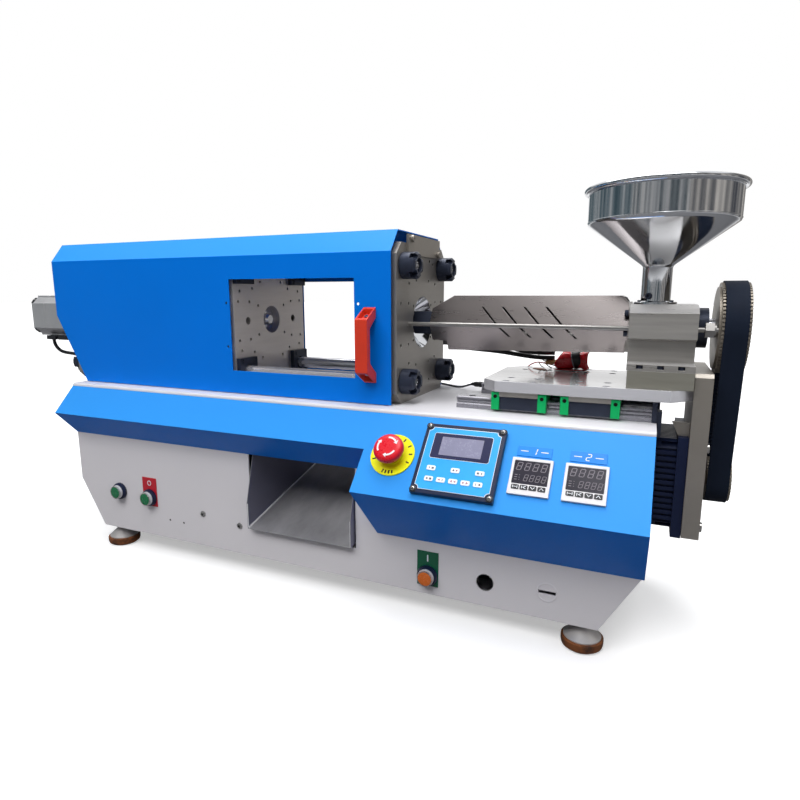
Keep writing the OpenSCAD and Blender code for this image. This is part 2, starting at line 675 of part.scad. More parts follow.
module rail_stops() color("#26262a") for (s = [-1, 1]) translate([0, s * rail_y, 0]) {
    slab([rail_x + rail_l, -12, 0], [cab_right - rail_x - rail_l, 24, block_h - 2.5]);
    slab([cab_right, -10, -18], [5.5, 18, 32]);
}

// Tie rods that draw the carriage to the platen, each with a stop nut behind the feed block
module pull_rods() color("silver") for (s = [-1, 1]) {
    rod_x(-platen_t + 3, s * rod_y, axis_h, rod_end + platen_t - 3, rod_r);
    hex_x(feed_end + nozzle_stroke, s * rod_y, axis_h, 9.5, 17);
    rod_x(feed_end + nozzle_stroke + 9, s * rod_y, axis_h, 2.5, 7.4);
}

// Sensor at the rear rail's end, with a thin lead that lies on the deck and drops behind the platen
lead_y = 113.75;
sensor_points = [[-34, lead_y, -14], [-34, lead_y, -8], [-34, lead_y, -3], [-32.6, lead_y, 0], [-29, lead_y + 0.4, 1.7],
    [-23, lead_y + 0.8, 1.8], [-14, lead_y + 1, 1.8], [-6, lead_y, 1.8], [1, lead_y - 4, 1.8], [11, lead_y - 11, 1.8],
    [22, 94.5, 1.8], [32, 88, 2.2], [41, 80, 4], [49, 72.5, 7], [56, 67.5, 9.8], [62, 65.4, 11.6], [68, 65, 12.2]];
module sensor_lead() color("#1a1a1a") {
    tube(sensor_points, 1.6, 8);
    translate([61, rail_y, 12.2]) rotate([0, 90, 0]) cylinder(h = 7, r1 = 2.4, r2 = 4.2);
    rod_x(67.9, rail_y, 12.2, rail_x - 67.92, 4.2);
}

// ---------------------------------------------------------------- carriage

block_xs = [blocks_x, blocks_x + block_l + block_gap];
block_low = block_w / 2 - 3;
// Block section in YZ: wide ground shoulders on a narrower lower body, open over the rail
module block_section(clear) difference() {
    polygon([
        [-block_w / 2, block_h], [-block_w / 2, block_h - 7], [-block_low, block_h - 8.5], [-block_low, block_lift],
        [block_low, block_lift], [block_low, block_h - 8.5], [block_w / 2, block_h - 7], [block_w / 2, block_h]]);
    translate([-10 - clear, -1]) square([20 + 2 * clear, rail_h + 1 + clear]);
}
module guide_blocks() color("#2b2d33") for (x = block_xs, s = [-1, 1])
    plate_x_dir(x + cap_l, block_l - 2 * cap_l) translate([s * rail_y, 0]) block_section(seat);
module block_end_caps() color("seagreen") for (x = block_xs, s = [-1, 1], e = [0, block_l - cap_l]) difference() {
    plate_x_dir(x + e, cap_l) translate([s * rail_y, 0]) difference() {
        translate([-block_w / 2 + 0.6, block_lift - 0.5]) square([block_w - 1.2, block_h - block_lift - 1.1]);
        translate([-10 - seat, -1]) square([20 + 2 * seat, rail_h + 1 + seat]);
    }
    translate([x + e + cap_l / 2, s * (rail_y + block_w / 2), 21.5]) rotate([s * 90, 0, 0]) cylinder(h = 4, r = 2.6);
}

plate_c0 = 19.5;
plate_c1 = 25;
module carriage_plate() color("gainsboro") difference() {
    translate([0, 0, plate_z]) linear_extrude(plate_t) polygon([
        [plate_x + plate_c0, -plate_w / 2], [plate_end - plate_c1, -plate_w / 2], [plate_end, -plate_w / 2 + plate_c1],
        [plate_end, plate_w / 2 - plate_c1], [plate_end - plate_c1, plate_w / 2], [plate_x + plate_c0, plate_w / 2],
        [plate_x, plate_w / 2 - plate_c0], [plate_x, -plate_w / 2 + plate_c0]]);
    for (x = block_xs, s = [-1, 1], dx = [-18, 18], dy = [-16, 16])
        translate([x + block_l / 2 + dx, s * rail_y + dy, plate_top - 6]) cylinder(h = 7, r = 4.6);
}

module riser_block() color("darkgray")
    slab([feed_x + 2, -riser_w / 2, plate_top], [feed_end - feed_x - 2, riser_w, riser_t]);

// Feed block: bevelled head that holds the barrel, neck, and bolted foot flange
head_top = axis_h + 29.5;
module feed_section() polygon([
    [-46, flange_z], [46, flange_z], [46, axis_h - 16], [feed_half, axis_h - 11.6],
    [feed_half, axis_h + 19.5], [feed_half - 20, head_top], [-feed_half + 20, head_top], [-feed_half, axis_h + 19.5],
    [-feed_half, axis_h - 11.6], [-46, axis_h - 16]]);
foot_screws = [15.8, 39.3, 62.2];
module at_foot_screws() for (x = foot_screws, s = [-1, 1])
    translate([feed_x + x, s * riser_w / 2, flange_z + 2.5]) rotate([0, 0, s > 0 ? 180 : 0]) children();
module feed_block() color("darkgray") difference() {
    union() {
        plate_x_dir(feed_x, feed_end - feed_x) feed_section();
        slab([feed_x + 1, -riser_w / 2, flange_z], [feed_end - feed_x - 1, riser_w, flange_t]);
        // hexagonal boss inside the heater cover
        intersection() {
            hex_x(feed_x - 14, 0, axis_h, 14.01, 2 * (cover_af - cover_t - seat));
            slab([feed_x - 15, -60, axis_h - cover_low + cover_rise + 1], [16, 120, cover_low + 26]);
        }
    }
    rod_x(feed_x - 20, 0, axis_h, feed_end - feed_x + 40, barrel_d / 2 + run_fit);
    for (s = [-1, 1]) rod_x(feed_x - 1, s * rod_y, axis_h, 100, rod_r + seat);
    at_cover_screws() translate([0, 0, -10]) cylinder(h = 12, r = 2 + run_fit);
    translate([hopper_x, 0, axis_h]) cylinder(h = 40, r = 11);
    // closed windows over the flange's screws, open at its edge
    at_foot_screws() {
        translate([0, 6, 0]) cylinder(h = 4.6, r = 4.6);
        translate([-3.85, -1, 0]) cube([7.7, 7, 4.6]);
    }
}

barrel_end = 366;
module barrel() color("slategray") difference() {
    rod_x(barrel_x, 0, axis_h, barrel_end - barrel_x, barrel_d / 2);
    rod_x(barrel_x - 1, 0, axis_h, barrel_end - barrel_x + 2, bore_d / 2);
    translate([hopper_x, 0, axis_h]) cylinder(h = 30, r = 9);
}

band_r = 27;
band_xs = [31, 98, 165, 228];
module heater_bands() color("silver") for (x = band_xs) {
    l = x == band_xs[3] ? 45 : 50;
    difference() {
        rod_x(x, 0, axis_h, l, band_r);
        rod_x(x - 1, 0, axis_h, l + 2, barrel_d / 2 + run_fit);
        slab([x - 1, -1, axis_h - band_r - 2], [l + 2, 2, 12]);
    }
    // clamping ears and terminal posts underneath
    for (s = [-1, 1]) slab([x + 4, s > 0 ? 1 : -3, axis_h - band_r - 6], [l - 8, 2, 8]);
    for (s = [-1, 1]) translate([x + l - 12, s * 12, axis_h - band_r - 4]) cylinder(h = 9, r = 2.5);
}

// Hexagonal sheet cover, open underneath
cover_vertex = cover_af / cos(30);
function cover_outline(d) = let (a = cover_af - d, v = a / cos(30))
    [[-v + cover_low * tan(30), axis_h - cover_low], [-v, axis_h], [-v / 2, axis_h + a], [v / 2, axis_h + a],
        [v, axis_h], [v - cover_low * tan(30), axis_h - cover_low]];
function cover_bottom(x) = axis_h - cover_low + cover_rise * (x - barrel_x) / (cover_x1 - barrel_x);
slot_xs = [103, 132, 162, 192];
module heater_cover() color("silver") {
    difference() {
        plate_x_dir(barrel_x, cover_x1 - barrel_x) difference() {
            polygon(cover_outline(0));
            polygon([for (p = cover_outline(cover_t)) [p.x, p.y <= axis_h - cover_low ? p.y - 1 : p.y]]);
        }
        translate([0, 60, 0]) rotate([90, 0, 0]) linear_extrude(120) {
            // corners cut off the left end, above and below the fold
            polygon([[barrel_x - 1, axis_h + 22], [barrel_x, axis_h + 22], [barrel_x + 32, axis_h + 42],
                [barrel_x - 1, axis_h + 42]]);
            polygon([[barrel_x - 1, axis_h - 23.5], [barrel_x + 20, axis_h - 23.5], [barrel_x + 22, axis_h - 25.5],
                [barrel_x + 22, axis_h - 42], [barrel_x - 1, axis_h - 42]]);
            // corners eased at the right end
            polygon([[cover_x1 + 1, axis_h + 20], [cover_x1, axis_h + 20], [cover_x1 - 1.5, axis_h + 31],
                [cover_x1 - 6, axis_h + 38], [cover_x1 - 12, axis_h + 41.5], [cover_x1 + 1, axis_h + 42]]);
            polygon([[cover_x1 + 1, axis_h - 13], [cover_x1, axis_h - 13], [cover_x1 - 3.3, axis_h - 20.5],
                [cover_x1 - 3.3, axis_h - 42], [cover_x1 + 1, axis_h - 42]]);
            // lower edge rises to the right
            polygon([[barrel_x - 9, cover_bottom(barrel_x - 9)], [cover_x1 + 9, cover_bottom(cover_x1 + 9)],
                [cover_x1 + 9, axis_h - cover_low - 1], [barrel_x - 9, axis_h - cover_low - 1]]);
        }
        // slanted cooling slots across the fold
        for (x = slot_xs, s = [-1, 1]) translate([x, s > 0 ? 70 : -20, axis_h + 25]) rotate([90, 0, 0])
            linear_extrude(50) polygon([[-1.7, 0], [1.7, 0], [42.7, -41], [39.3, -41]]);
    }
    // ears bent outwards against the feed block, each under a cap screw
    difference() {
        plate_x_dir(feed_x - seat - cover_t, cover_t) difference() {
            for (s = [-1, 1], z = ear_at) translate([s * screw_y(z), axis_h + z]) {
                circle(r = ear_r);
                translate([s > 0 ? -9 : 0, -ear_r]) square([9, 2 * ear_r]);
            }
            polygon(cover_outline(cover_t * 0.6));
        }
        at_cover_screws() translate([0, 0, -4]) cylinder(h = 8, r = 2 + run_fit);
    }
}
// Four cap screws hold the cover's ears on the feed block; local Z points away from the block
function screw_y(z) = cover_vertex - abs(z) * tan(30) + (cap_head_r + 0.35) / cos(30);
cap_head_r = 4.25;
module at_cover_screws() for (s = [-1, 1], z = ear_at)
    translate([feed_x - seat - cover_t, s * screw_y(z), axis_h + z]) rotate([0, -90, 0]) children();
module carriage_screws() color("#17171a") {
    at_cover_screws() difference() {
        union() {
            cylinder(h = 4.6, r = cap_head_r);
            translate([0, 0, -9]) cylinder(h = 9.1, r = 2);
        }
        translate([0, 0, 2.4]) cylinder(h = 3, r = 2.1, $fn = 6);
    }
    at_foot_screws() translate([0, 6, 0]) cylinder(h = 4.3, r = 4.25);
}

// Hexagonal nozzle with a tapered tip
module nozzle() color("#17171a") difference() {
    union() {
        hex_x(-9, 0, axis_h, 30, 33.5);
        rod_x(21, 0, axis_h, barrel_x - 21, 15);
        translate([-22, 0, axis_h]) rotate([0, 90, 0]) cylinder(h = 13.01, r1 = 6, r2 = 13);
    }
    rod_x(-23, 0, axis_h, 60, 2);
    rod_x(8, 0, axis_h, 30, bore_d / 2);
}

module thrust_housing() color("#1b1c20") difference() {
    rod_x(feed_end, 0, axis_h, thrust_l, 25.5);
    rod_x(feed_end - 1, 0, axis_h, thrust_l + 2, 12 + run_fit);
    for (a = [45:90:359]) translate([feed_end + thrust_l - 3, 19 * cos(a), axis_h + 19 * sin(a)])
        rotate([0, 90, 0]) cylinder(h = 4, r = 2.6);
}

// ---------------------------------------------------------------- hopper

rim_r = rim_d / 2;
hopper_t = 1.2;
hopper_wall_r = rim_r - 6;
hopper_rim_z = 286;
hopper_band_z = 244;
hopper_neck_z = 192;
neck_r = 18;
module hopper() color("silver") translate([hopper_x, 0, 0]) {
    rotate_extrude($fn = 96) {
        polygon([
            [neck_r, head_top + 3], [neck_r, hopper_neck_z], [hopper_wall_r, hopper_band_z], [hopper_wall_r, hopper_rim_z],
            [hopper_wall_r - hopper_t, hopper_rim_z], [hopper_wall_r - hopper_t, hopper_band_z + 1],
            [neck_r - hopper_t - 4, hopper_neck_z], [neck_r - hopper_t - 4, head_top + 3]]);
        translate([hopper_wall_r + 2.4, hopper_rim_z]) circle(r = 3.6, $fn = 24);
    }
    difference() {
        translate([0, 0, head_top]) cylinder(h = 3, r = 26);
        translate([0, 0, head_top - 1]) cylinder(h = 6, r = neck_r - hopper_t - 4);
    }
    translate([-6, -neck_r + 2, head_top + 8]) rotate([90, 0, 0]) difference() {
        cylinder(h = 4.5, r = 4);
        translate([0, 0, 2.5]) cylinder(h = 3, r = 2, $fn = 6);
    }
}

// ---------------------------------------------------------------- screw drive

module motor_plate() color("gray") {
    difference() {
        slab([plate_end, -motor_plate_w / 2, motor_plate_bottom],
            [motor_plate_t, motor_plate_w, motor_plate_top - motor_plate_bottom]);
        rod_x(plate_end - 1, 0, servo_z, motor_plate_t + 2, 36);
        for (s = [-1, 1], z = [15, 35]) rod_x(plate_end + 12, s * 55, z, 10, 5);
        for (s = [-1, 1]) translate([plate_end, s * motor_plate_w / 2, motor_plate_top]) rotate([45, 0, 0])
            cube([3 * motor_plate_t, motor_plate_bevel * sqrt(2), motor_plate_bevel * sqrt(2)], center = true);
    }
    // wedge that braces the plate above the motor's flange
    translate([0, -46, 0]) rotate([90, 0, 0]) linear_extrude(8)
        polygon([[plate_end - 20, -1], [plate_end + 1, -1], [plate_end + 1, servo_z + servo_s / 2],
            [plate_end - flange_servo_t, servo_z + servo_s / 2]]);
}

// Finned motor body: grooves run along the motor on all four sides
fin_p = 7.8;
fin_d = 4;
body_h = servo_s / 2 - 6;
fins = [for (i = [-6:6]) i * fin_p];
function finned_side() = [for (f = fins)
    each [[f - 1.6, body_h], [f - 1.2, body_h - fin_d], [f + 1.2, body_h - fin_d], [f + 1.6, body_h]]];
module servo_section() intersection() {
    intersection_for (a = [0:90:359]) rotate(a)
        polygon(concat([[-body_h - 1, -body_h - 1], [-body_h - 1, body_h]], finned_side(),
            [[body_h + 1, body_h], [body_h + 1, -body_h - 1]]));
    circle(r = body_h * 1.27, $fn = 64);
}
servo_face = plate_end;
module injection_motor() color("#15161d") difference() {
    union() {
        slab([servo_face - flange_servo_t, -servo_s / 2, servo_z - servo_s / 2], [flange_servo_t, servo_s, servo_s]);
        plate_x_dir(servo_face - flange_servo_t - servo_l, servo_l) translate([0, servo_z]) servo_section();
        rod_x(servo_face - 1, 0, servo_z, 5, 35.9);
        slab([servo_face - servo_l - 4, -22, servo_z + body_h - 1], [44, 44, 9]);
    }
    rod_x(servo_face - 50, 0, servo_z, 60, 11 + run_fit);
    for (sy = [-1, 1], sz = [-1, 1]) rod_x(servo_face - 30, sy * 51.3, servo_z + sz * 51.3, 40, 4.5);
}

// Toothed pulley outline: rounded-trapezoid teeth computed from the tooth count
function tooth(r, n, i) = let (a = 360 / n)
    [for (q = [[0, r - 2.0], [0.22, r - 2.0], [0.34, r], [0.88, r]]) q[1] * [cos((i + q[0]) * a), sin((i + q[0]) * a)]];
module pulley_outline(r, n) polygon([for (i = [0:n - 1]) each tooth(r, n, i)]);

module screw_pulley() color("silver") translate([pulley_x, 0, axis_h]) rotate([90, 0, 90]) {
    difference() {
        union() {
            linear_extrude(pulley_l) pulley_outline(big_r, big_teeth);
            translate([0, 0, -pulley_face]) cylinder(h = pulley_face + 1, r = big_r - 5.5);
        }
        translate([0, 0, -pulley_face - 1]) cylinder(h = pulley_l + pulley_face + 2, r = 11 + run_fit);
        // turned web on the outer face
        translate([0, 0, pulley_l - 5]) difference() {
            cylinder(h = 6, r = big_r - 9);
            cylinder(h = 6, r = 17);
        }
    }
}
screw_turns = 10;
module plasticising_screw() color("lightslategray") {
    rod_x(feed_end - 4, 0, axis_h, pulley_x + pulley_l - feed_end + 4, 11);
    rod_x(feed_end - 4, 0, axis_h, pulley_x - pulley_face - feed_end + 4, 12);
    rod_x(hopper_x + 11, 0, axis_h, feed_end - 3 - hopper_x - 11, bore_d / 2 - run_fit);
    translate([40, 0, axis_h]) rotate([0, 90, 0]) {
        linear_extrude(height = hopper_x - 28, twist = -360 * screw_turns, slices = 12 * screw_turns,
            convexity = 6, $fn = 12) flight();
        translate([0, 0, -12]) cylinder(h = 12.5, r1 = 1, r2 = 6, $fn = 12);
    }
}
// Section of the screw's core with one flight standing on it
module flight() union() {
    circle(r = 6.2, $fn = 12);
    translate([0, -1.3]) square([bore_d / 2 - 0.35, 2.6]);
}

module motor_pulley() color("silver") {
    plate_x_dir(pulley_x + 3, pulley_l - 3) translate([0, servo_z]) pulley_outline(small_r, small_teeth);
    rod_x(pulley_x - 40, 0, servo_z, 44, 11);
}

// Belt outline in YZ: two arcs and their outer tangents
centre_gap = axis_h - servo_z;
module belt_loop(grow) {
    r1 = big_r + belt_gap + grow;
    r2 = small_r + belt_gap + grow;
    lean = asin((r1 - r2) / centre_gap);
    translate([0, axis_h]) circle(r = r1, $fn = 96);
    translate([0, servo_z]) circle(r = r2, $fn = 96);
    polygon([[r1 * cos(lean), axis_h - r1 * sin(lean)], [-r1 * cos(lean), axis_h - r1 * sin(lean)],
        [-r2 * cos(lean), servo_z - r2 * sin(lean)], [r2 * cos(lean), servo_z - r2 * sin(lean)]]);
}
module drive_belt() color("#1a1b26") plate_x_dir(belt_x, belt_w) difference() {
    belt_loop(belt_t);
    belt_loop(0);
}

// ---------------------------------------------------------------- leads on the carriage

// Leads that sag from the bands' terminals to the boot: local Z is the share of the drop that is left
function hang(points, top, low) = [for (p = points) [p.x, p.y, low + p.z * (top - low)]];
terminal_z = axis_h - band_r - 4.5;
boot_x = 192.3;
boot_y = 65;
boot_r = 13.5;
lead_a = hang([[69, -12, 1], [69.2, -12, 0.935], [70.6, -11.8, 0.861], [73.4, -11.3, 0.815], [78, -10, 0.796],
    [85, -7, 0.759], [94, -2, 0.704], [104, 5, 0.639], [115, 13, 0.556], [127, 22, 0.444], [139, 31, 0.315],
    [151, 40, 0.194], [163, 48, 0.093], [172, 54.5, 0.037], [180, 60, 0.005], [186, 62.3, 0], [192, 62.4, 0]],
    terminal_z, plate_top + boot_r + 4.3);
lead_b = hang([[136, 12, 1], [136.2, 12, 0.898], [137.4, 12.8, 0.781], [139.8, 14.6, 0.664], [144, 18, 0.518],
    [151, 24, 0.343], [159, 31.5, 0.226], [168, 40, 0.139], [176, 48.5, 0.051], [182, 56, 0.007], [187, 60.6, 0],
    [192, 60.7, 0]], terminal_z, plate_top + boot_r + 12.2);
module heater_leads() color("#121214") {
    tube(lead_a, 3.4, 10);
    tube(lead_b, 3.4, 10);
}
// Soft boot over the terminal joint, flared at its free end and flattened where it lies on the plate
module terminal_boot() color("crimson") difference() {
    translate([boot_x, boot_y, plate_top + boot_r + 2]) rotate([0, 90, 0]) {
        rotate_extrude() polygon([
            [0, 0], [boot_r - 1.5, 0], [boot_r + 0.8, 3], [boot_r + 0.8, 17], [boot_r - 2.5, 20], [boot_r - 2.5, 36],
            [0, 36]]);
        translate([0, 0, 26]) rotate([0, 0, 45]) cylinder(h = 20, r1 = boot_r - 2, r2 = boot_r + 8, $fn = 4);
        translate([0, 0, 45.9]) rotate([0, 0, 45]) cylinder(h = 5, r = boot_r + 6, $fn = 4);
    }
    slab([boot_x - 2, boot_y - 30, plate_top - 30], [70, 60, 30]);
}

// ---------------------------------------------------------------- console fittings

// Blank legend plates: two above the controllers and one above each push button
module panel_plates() color("deepskyblue") {
    for (x = controller_xs) on_slope(x, 36) slab([-20.5, -7, 0], [41, 14, 1]);
    for (i = [1, 2]) on_front(button_xs[i], button_zs[i]) difference() {
        slab([-15.5, -15.5, 0], [31, 50.5, 1]);
        translate([0, 0, -1]) cylinder(h = 3, r = panel_hole_r);
    }
}

module control_panel() color("#1d2433") on_slope(panel_x, panel_s) difference() {
    union() {
        slab([-panel_w / 2, -panel_h / 2, 0], [panel_w, panel_h, panel_t]);
        slab([-37, -37, -28], [74, 74, 28.5]);
    }
    slab([-37.5, 0.5, panel_t - 1.2], [75, 35, 3]);
}

module temperature_controllers() color("white") for (x = controller_xs) on_slope(x, controller_s) difference() {
    union() {
        slab([-controller_w / 2, -controller_w / 2, 0], [controller_w, controller_w, 3.5]);
        slab([-22.2, -22.2, -55], [44.4, 44.4, 55.5]);
    }
    slab([-20.7, -10.2, 2.5], [41.4, 30.4, 2]);
}

// Push buttons: each bezel has a threaded body through the panel and guides a cap that travels
button_travel = 3;
function button_lift(i) = i == 0 ? 0 : 1;
module button_bezels() color("silver") for (i = [0:2]) on_front(button_xs[i], button_zs[i]) difference() {
    union() {
        translate([0, 0, button_lift(i)]) cylinder(h = 4, r = 14.7);
        translate([0, 0, button_lift(i) + 3.9]) cylinder(h = 3, r1 = 14.7, r2 = 13.4);
        translate([0, 0, -30]) cylinder(h = 31 + button_lift(i), r = panel_hole_r - 0.2);
    }
    translate([0, 0, button_lift(i) + 1]) cylinder(h = 8, r = 12);
    translate([0, 0, -12]) cylinder(h = 20, r = 5);
}
module button_cap(i) on_front(button_xs[i], button_zs[i]) translate([0, 0, button_lift(i)]) {
    rotate_extrude() polygon([
        [0, 1 + button_travel + seat], [12 - run_fit, 1 + button_travel + seat], [12 - run_fit, 10.5], [11, 12.5],
        [8, 13.3], [0, 13.6]]);
    translate([0, 0, -6]) cylinder(h = 12, r = 5 - run_fit);
}
module left_button() color("seagreen") button_cap(0);
module middle_button() color("seagreen") button_cap(1);
module right_button() color("darkorange") button_cap(2);

estop_travel = 4;
stem_r = 7.5;
head_bore = 5;
module estop_base() color("yellow") on_slope(estop_x, estop_s) {
    difference() {
        cylinder(h = 1.6, r = 30, $fn = 96);
        translate([0, 0, -1]) cylinder(h = 4, r = panel_hole_r);
    }
    difference() {
        union() {
            translate([0, 0, -46]) cylinder(h = 48, r = panel_hole_r - 0.15);
            translate([0, 0, 1.6]) cylinder(h = 1.9, r = 14.5);
        }
        translate([0, 0, -14]) cylinder(h = 30, r = stem_r);
    }
}
module estop_stem() color("#2a2a2c") on_slope(estop_x, estop_s) {
    translate([0, 0, -8]) cylinder(h = 15.7, r = stem_r - run_fit);
    cylinder(h = 19, r = head_bore - run_fit);
}
module estop_head() color("red") on_slope(estop_x, estop_s) difference() {
    rotate_extrude() polygon([
        [0, 8], [12, 8], [15, 10], [18.6, 11.8], [20, 14.5], [20, 19], [19, 21.6], [16.5, 23.4], [12, 24.4], [0, 25]]);
    translate([0, 0, 7]) cylinder(h = 12 + seat, r = head_bore);
}

at_deck() base_cabinet();
at_deck() deck_plate();
at_deck() console_cover();
at_deck() chute();
at_deck() levelling_feet();
at_deck() foot_pads();
at_deck() drive_units();
at_deck() fixed_platen();
at_deck() platen_end_plate();
at_deck() rear_platen();
at_deck() tie_bars();
at_deck() tie_bar_nuts();
at_deck() screw_bearing();
at_deck() motor_bracket();
at_deck() clamp_motor();
at_deck() motor_fittings();
at_deck() motor_lead();
at_deck() hood_runners();
at_deck() moving_platen();
at_deck() bush_retainers();
at_deck() guide_bushes();
at_deck() ball_nut();
at_deck() ball_screw();
at_deck() shaft_coupling();
at_deck() hood();
at_deck() hood_handle();
at_deck() linear_rails();
at_deck() rail_stops();
at_deck() pull_rods();
at_deck() sensor_lead();
at_deck() guide_blocks();
at_deck() block_end_caps();
at_deck() carriage_plate();
at_deck() riser_block();
at_deck() feed_block();
at_deck() barrel();
at_deck() heater_bands();
at_deck() heater_cover();
at_deck() carriage_screws();
at_deck() nozzle();
at_deck() thrust_housing();
at_deck() hopper();
at_deck() motor_plate();
at_deck() injection_motor();
at_deck() drive_belt();
at_deck() heater_leads();
at_deck() terminal_boot();
at_deck() plasticising_screw();
at_deck() screw_pulley();
at_deck() motor_pulley();
at_deck() panel_plates();
at_deck() control_panel();
at_deck() temperature_controllers();
at_deck() button_bezels();
at_deck() left_button();
at_deck() middle_button();
at_deck() right_button();
at_deck() estop_base();
at_deck() estop_stem();
at_deck() estop_head();
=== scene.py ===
"""Looks of the desktop injection moulding machine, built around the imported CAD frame.

Lengths are written in millimetres from the fixed platen's outer face (x), the mould axis plane (y) and
the deck surface (z), and at() turns them into metres in the row frame.
"""

import json
import math

import bpy
from mathutils import Matrix, Vector

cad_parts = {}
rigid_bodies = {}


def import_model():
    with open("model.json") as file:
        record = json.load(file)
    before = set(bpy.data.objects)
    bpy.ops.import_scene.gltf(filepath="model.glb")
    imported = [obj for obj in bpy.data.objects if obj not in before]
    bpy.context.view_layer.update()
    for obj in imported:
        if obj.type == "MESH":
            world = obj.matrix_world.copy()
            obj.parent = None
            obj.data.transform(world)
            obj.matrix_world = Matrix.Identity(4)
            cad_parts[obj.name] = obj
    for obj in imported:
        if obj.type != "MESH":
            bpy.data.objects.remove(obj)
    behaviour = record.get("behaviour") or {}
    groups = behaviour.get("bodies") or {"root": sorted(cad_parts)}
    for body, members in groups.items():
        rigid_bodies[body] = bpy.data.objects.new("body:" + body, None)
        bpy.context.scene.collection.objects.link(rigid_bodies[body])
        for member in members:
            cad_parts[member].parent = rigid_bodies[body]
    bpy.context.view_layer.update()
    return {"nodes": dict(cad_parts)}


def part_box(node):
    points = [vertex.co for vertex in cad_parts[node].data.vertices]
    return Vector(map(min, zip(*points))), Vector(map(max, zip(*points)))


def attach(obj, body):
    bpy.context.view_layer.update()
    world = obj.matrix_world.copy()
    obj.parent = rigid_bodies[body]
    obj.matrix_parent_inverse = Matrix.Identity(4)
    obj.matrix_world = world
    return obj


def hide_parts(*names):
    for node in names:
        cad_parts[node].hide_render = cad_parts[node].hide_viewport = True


for stray in list(bpy.data.objects):
    bpy.data.objects.remove(stray)

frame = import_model()
nodes = frame["nodes"]
scene = bpy.context.scene

# -------- places

MM = 0.001
QUARTER = math.pi / 2
platen_low, platen_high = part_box("fixed_platen")
deck_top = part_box("deck_plate")[1].z
ORIGIN = Vector((platen_high.x, (platen_low.y + platen_high.y) / 2, deck_top))
HERE = Matrix.Translation(ORIGIN)

# height of the mould axis, front face of the console, angle of its slope, drop from the deck to its top
AXIS_Z = 113.5
FRONT = -130.0
SLOPE = math.radians(47)
DROP = 5.0


def at(x, y, z):
    """A point in metres in the row frame, from millimetres in the machine's own measures."""
    return ORIGIN + Vector((x, y, z)) * MM


def upright(x, y, z):
    return Matrix.Translation(at(x, y, z))


def spin(angle, axis="Z"):
    return Matrix.Rotation(angle, 4, axis)


def on_slope(x, s):
    """The frame of a place on the console's sloping face: x along it, y up the slope, z outwards."""
    return upright(x, FRONT - s * math.cos(SLOPE), -DROP - s * math.sin(SLOPE)) @ spin(SLOPE, "X")


def on_front(x, z):
    """The frame of a place on the front panel: local z points at the operator."""
    return upright(x, FRONT, z) @ spin(QUARTER, "X")


def along_x(x, y, z):
    """The frame of a place whose local z runs along the machine."""
    return upright(x, y, z) @ spin(QUARTER, "Y")


def corners(a, b):
    """The four corners of a rectangle round zero, from its half sides."""
    return [(-a, -b), (-a, b), (a, -b), (a, b)]


# -------- camera, light and floor

CAMERA_AT = (322.9, -833.9, 155.0)
CAMERA_YAW = math.radians(23.38)
CAMERA_PITCH = math.radians(10.35)
camera_data = bpy.data.cameras.new("camera")
camera_data.sensor_width = 36.0
camera_data.lens = 25.92
camera_data.clip_start = 0.01
camera_data.clip_end = 60.0
camera = bpy.data.objects.new("camera", camera_data)
camera.location = at(*CAMERA_AT)
camera.rotation_euler = (QUARTER - CAMERA_PITCH, 0.0, CAMERA_YAW)
scene.collection.objects.link(camera)
scene.camera = camera
scene.view_settings.view_transform = "Standard"


def srgb(r, g, b):
    """A colour given as 0 to 255 values on screen, as scene-linear values."""
    return tuple(((c / 255 + 0.055) / 1.055) ** 2.4 if c > 10 else c / 255 / 12.92 for c in (r, g, b))


class Nodes:
    """A short way to write a node tree."""

    def __init__(self, data):
        data.use_nodes = True
        self.tree = data.node_tree
        self.tree.nodes.clear()

    def new(self, kind, **values):
        """Adds a node. in_NAME sets a socket, or links it where the value is a socket or a node."""
        node = self.tree.nodes.new("ShaderNode" + kind)
        for key, value in values.items():
            if not key.startswith("in_"):
                setattr(node, key, value)
                continue
            name = key[3:].replace("_", " ")
            socket = node.inputs[int(name) if name.isdigit() else name]
            if isinstance(value, bpy.types.Node):
                value = value.outputs[0]
            if isinstance(value, bpy.types.NodeSocket):
                self.tree.links.new(value, socket)
            else:
                socket.default_value = value
        return node

    def ramp(self, value, *stops):
        """A colour ramp with a position and a colour for each stop."""
        node = self.new("ValToRGB", in_0=value)
        marks = node.color_ramp.elements
        for mark, (position, colour) in zip((marks[0], marks[1]), (stops[0], stops[-1])):
            mark.position, mark.color = position, (*colour, 1)
        for position, colour in stops[1:-1]:
            marks.new(position).color = (*colour, 1)
        return node

    def either(self, *rays):
        """1 where the ray is of one of these kinds, such as Is Camera Ray."""
        path = self.new("LightPath")
        share = path.outputs[rays[0]]
        for ray in rays[1:]:
            share = self.new("Math", operation="MAXIMUM", in_0=share, in_1=path.outputs[ray])
        return share


WHITE = (1, 1, 1, 1)
WORLD_LEVEL = 0.5
scene.world = bpy.data.worlds.new("studio")
w = Nodes(scene.world)
height = w.new("SeparateXYZ", in_0=w.new("TexCoord").outputs["Generated"]).outputs["Z"]
level = w.new("MapRange", in_Value=height, in_1=-1.0, in_2=1.0)
sky = w.ramp(level, (0.45, (0.30, 0.30, 0.31)), (0.85, (0.95, 0.97, 1.0)))
soft = w.new("Background", in_Color=sky, in_Strength=WORLD_LEVEL)
white = w.new("Background", in_Color=WHITE, in_Strength=1.0)
seen = w.either("Is Camera Ray", "Is Glossy Ray", "Is Transmission Ray")
w.new("OutputWorld", in_Surface=w.new("MixShader", in_0=seen, in_1=soft, in_2=white))


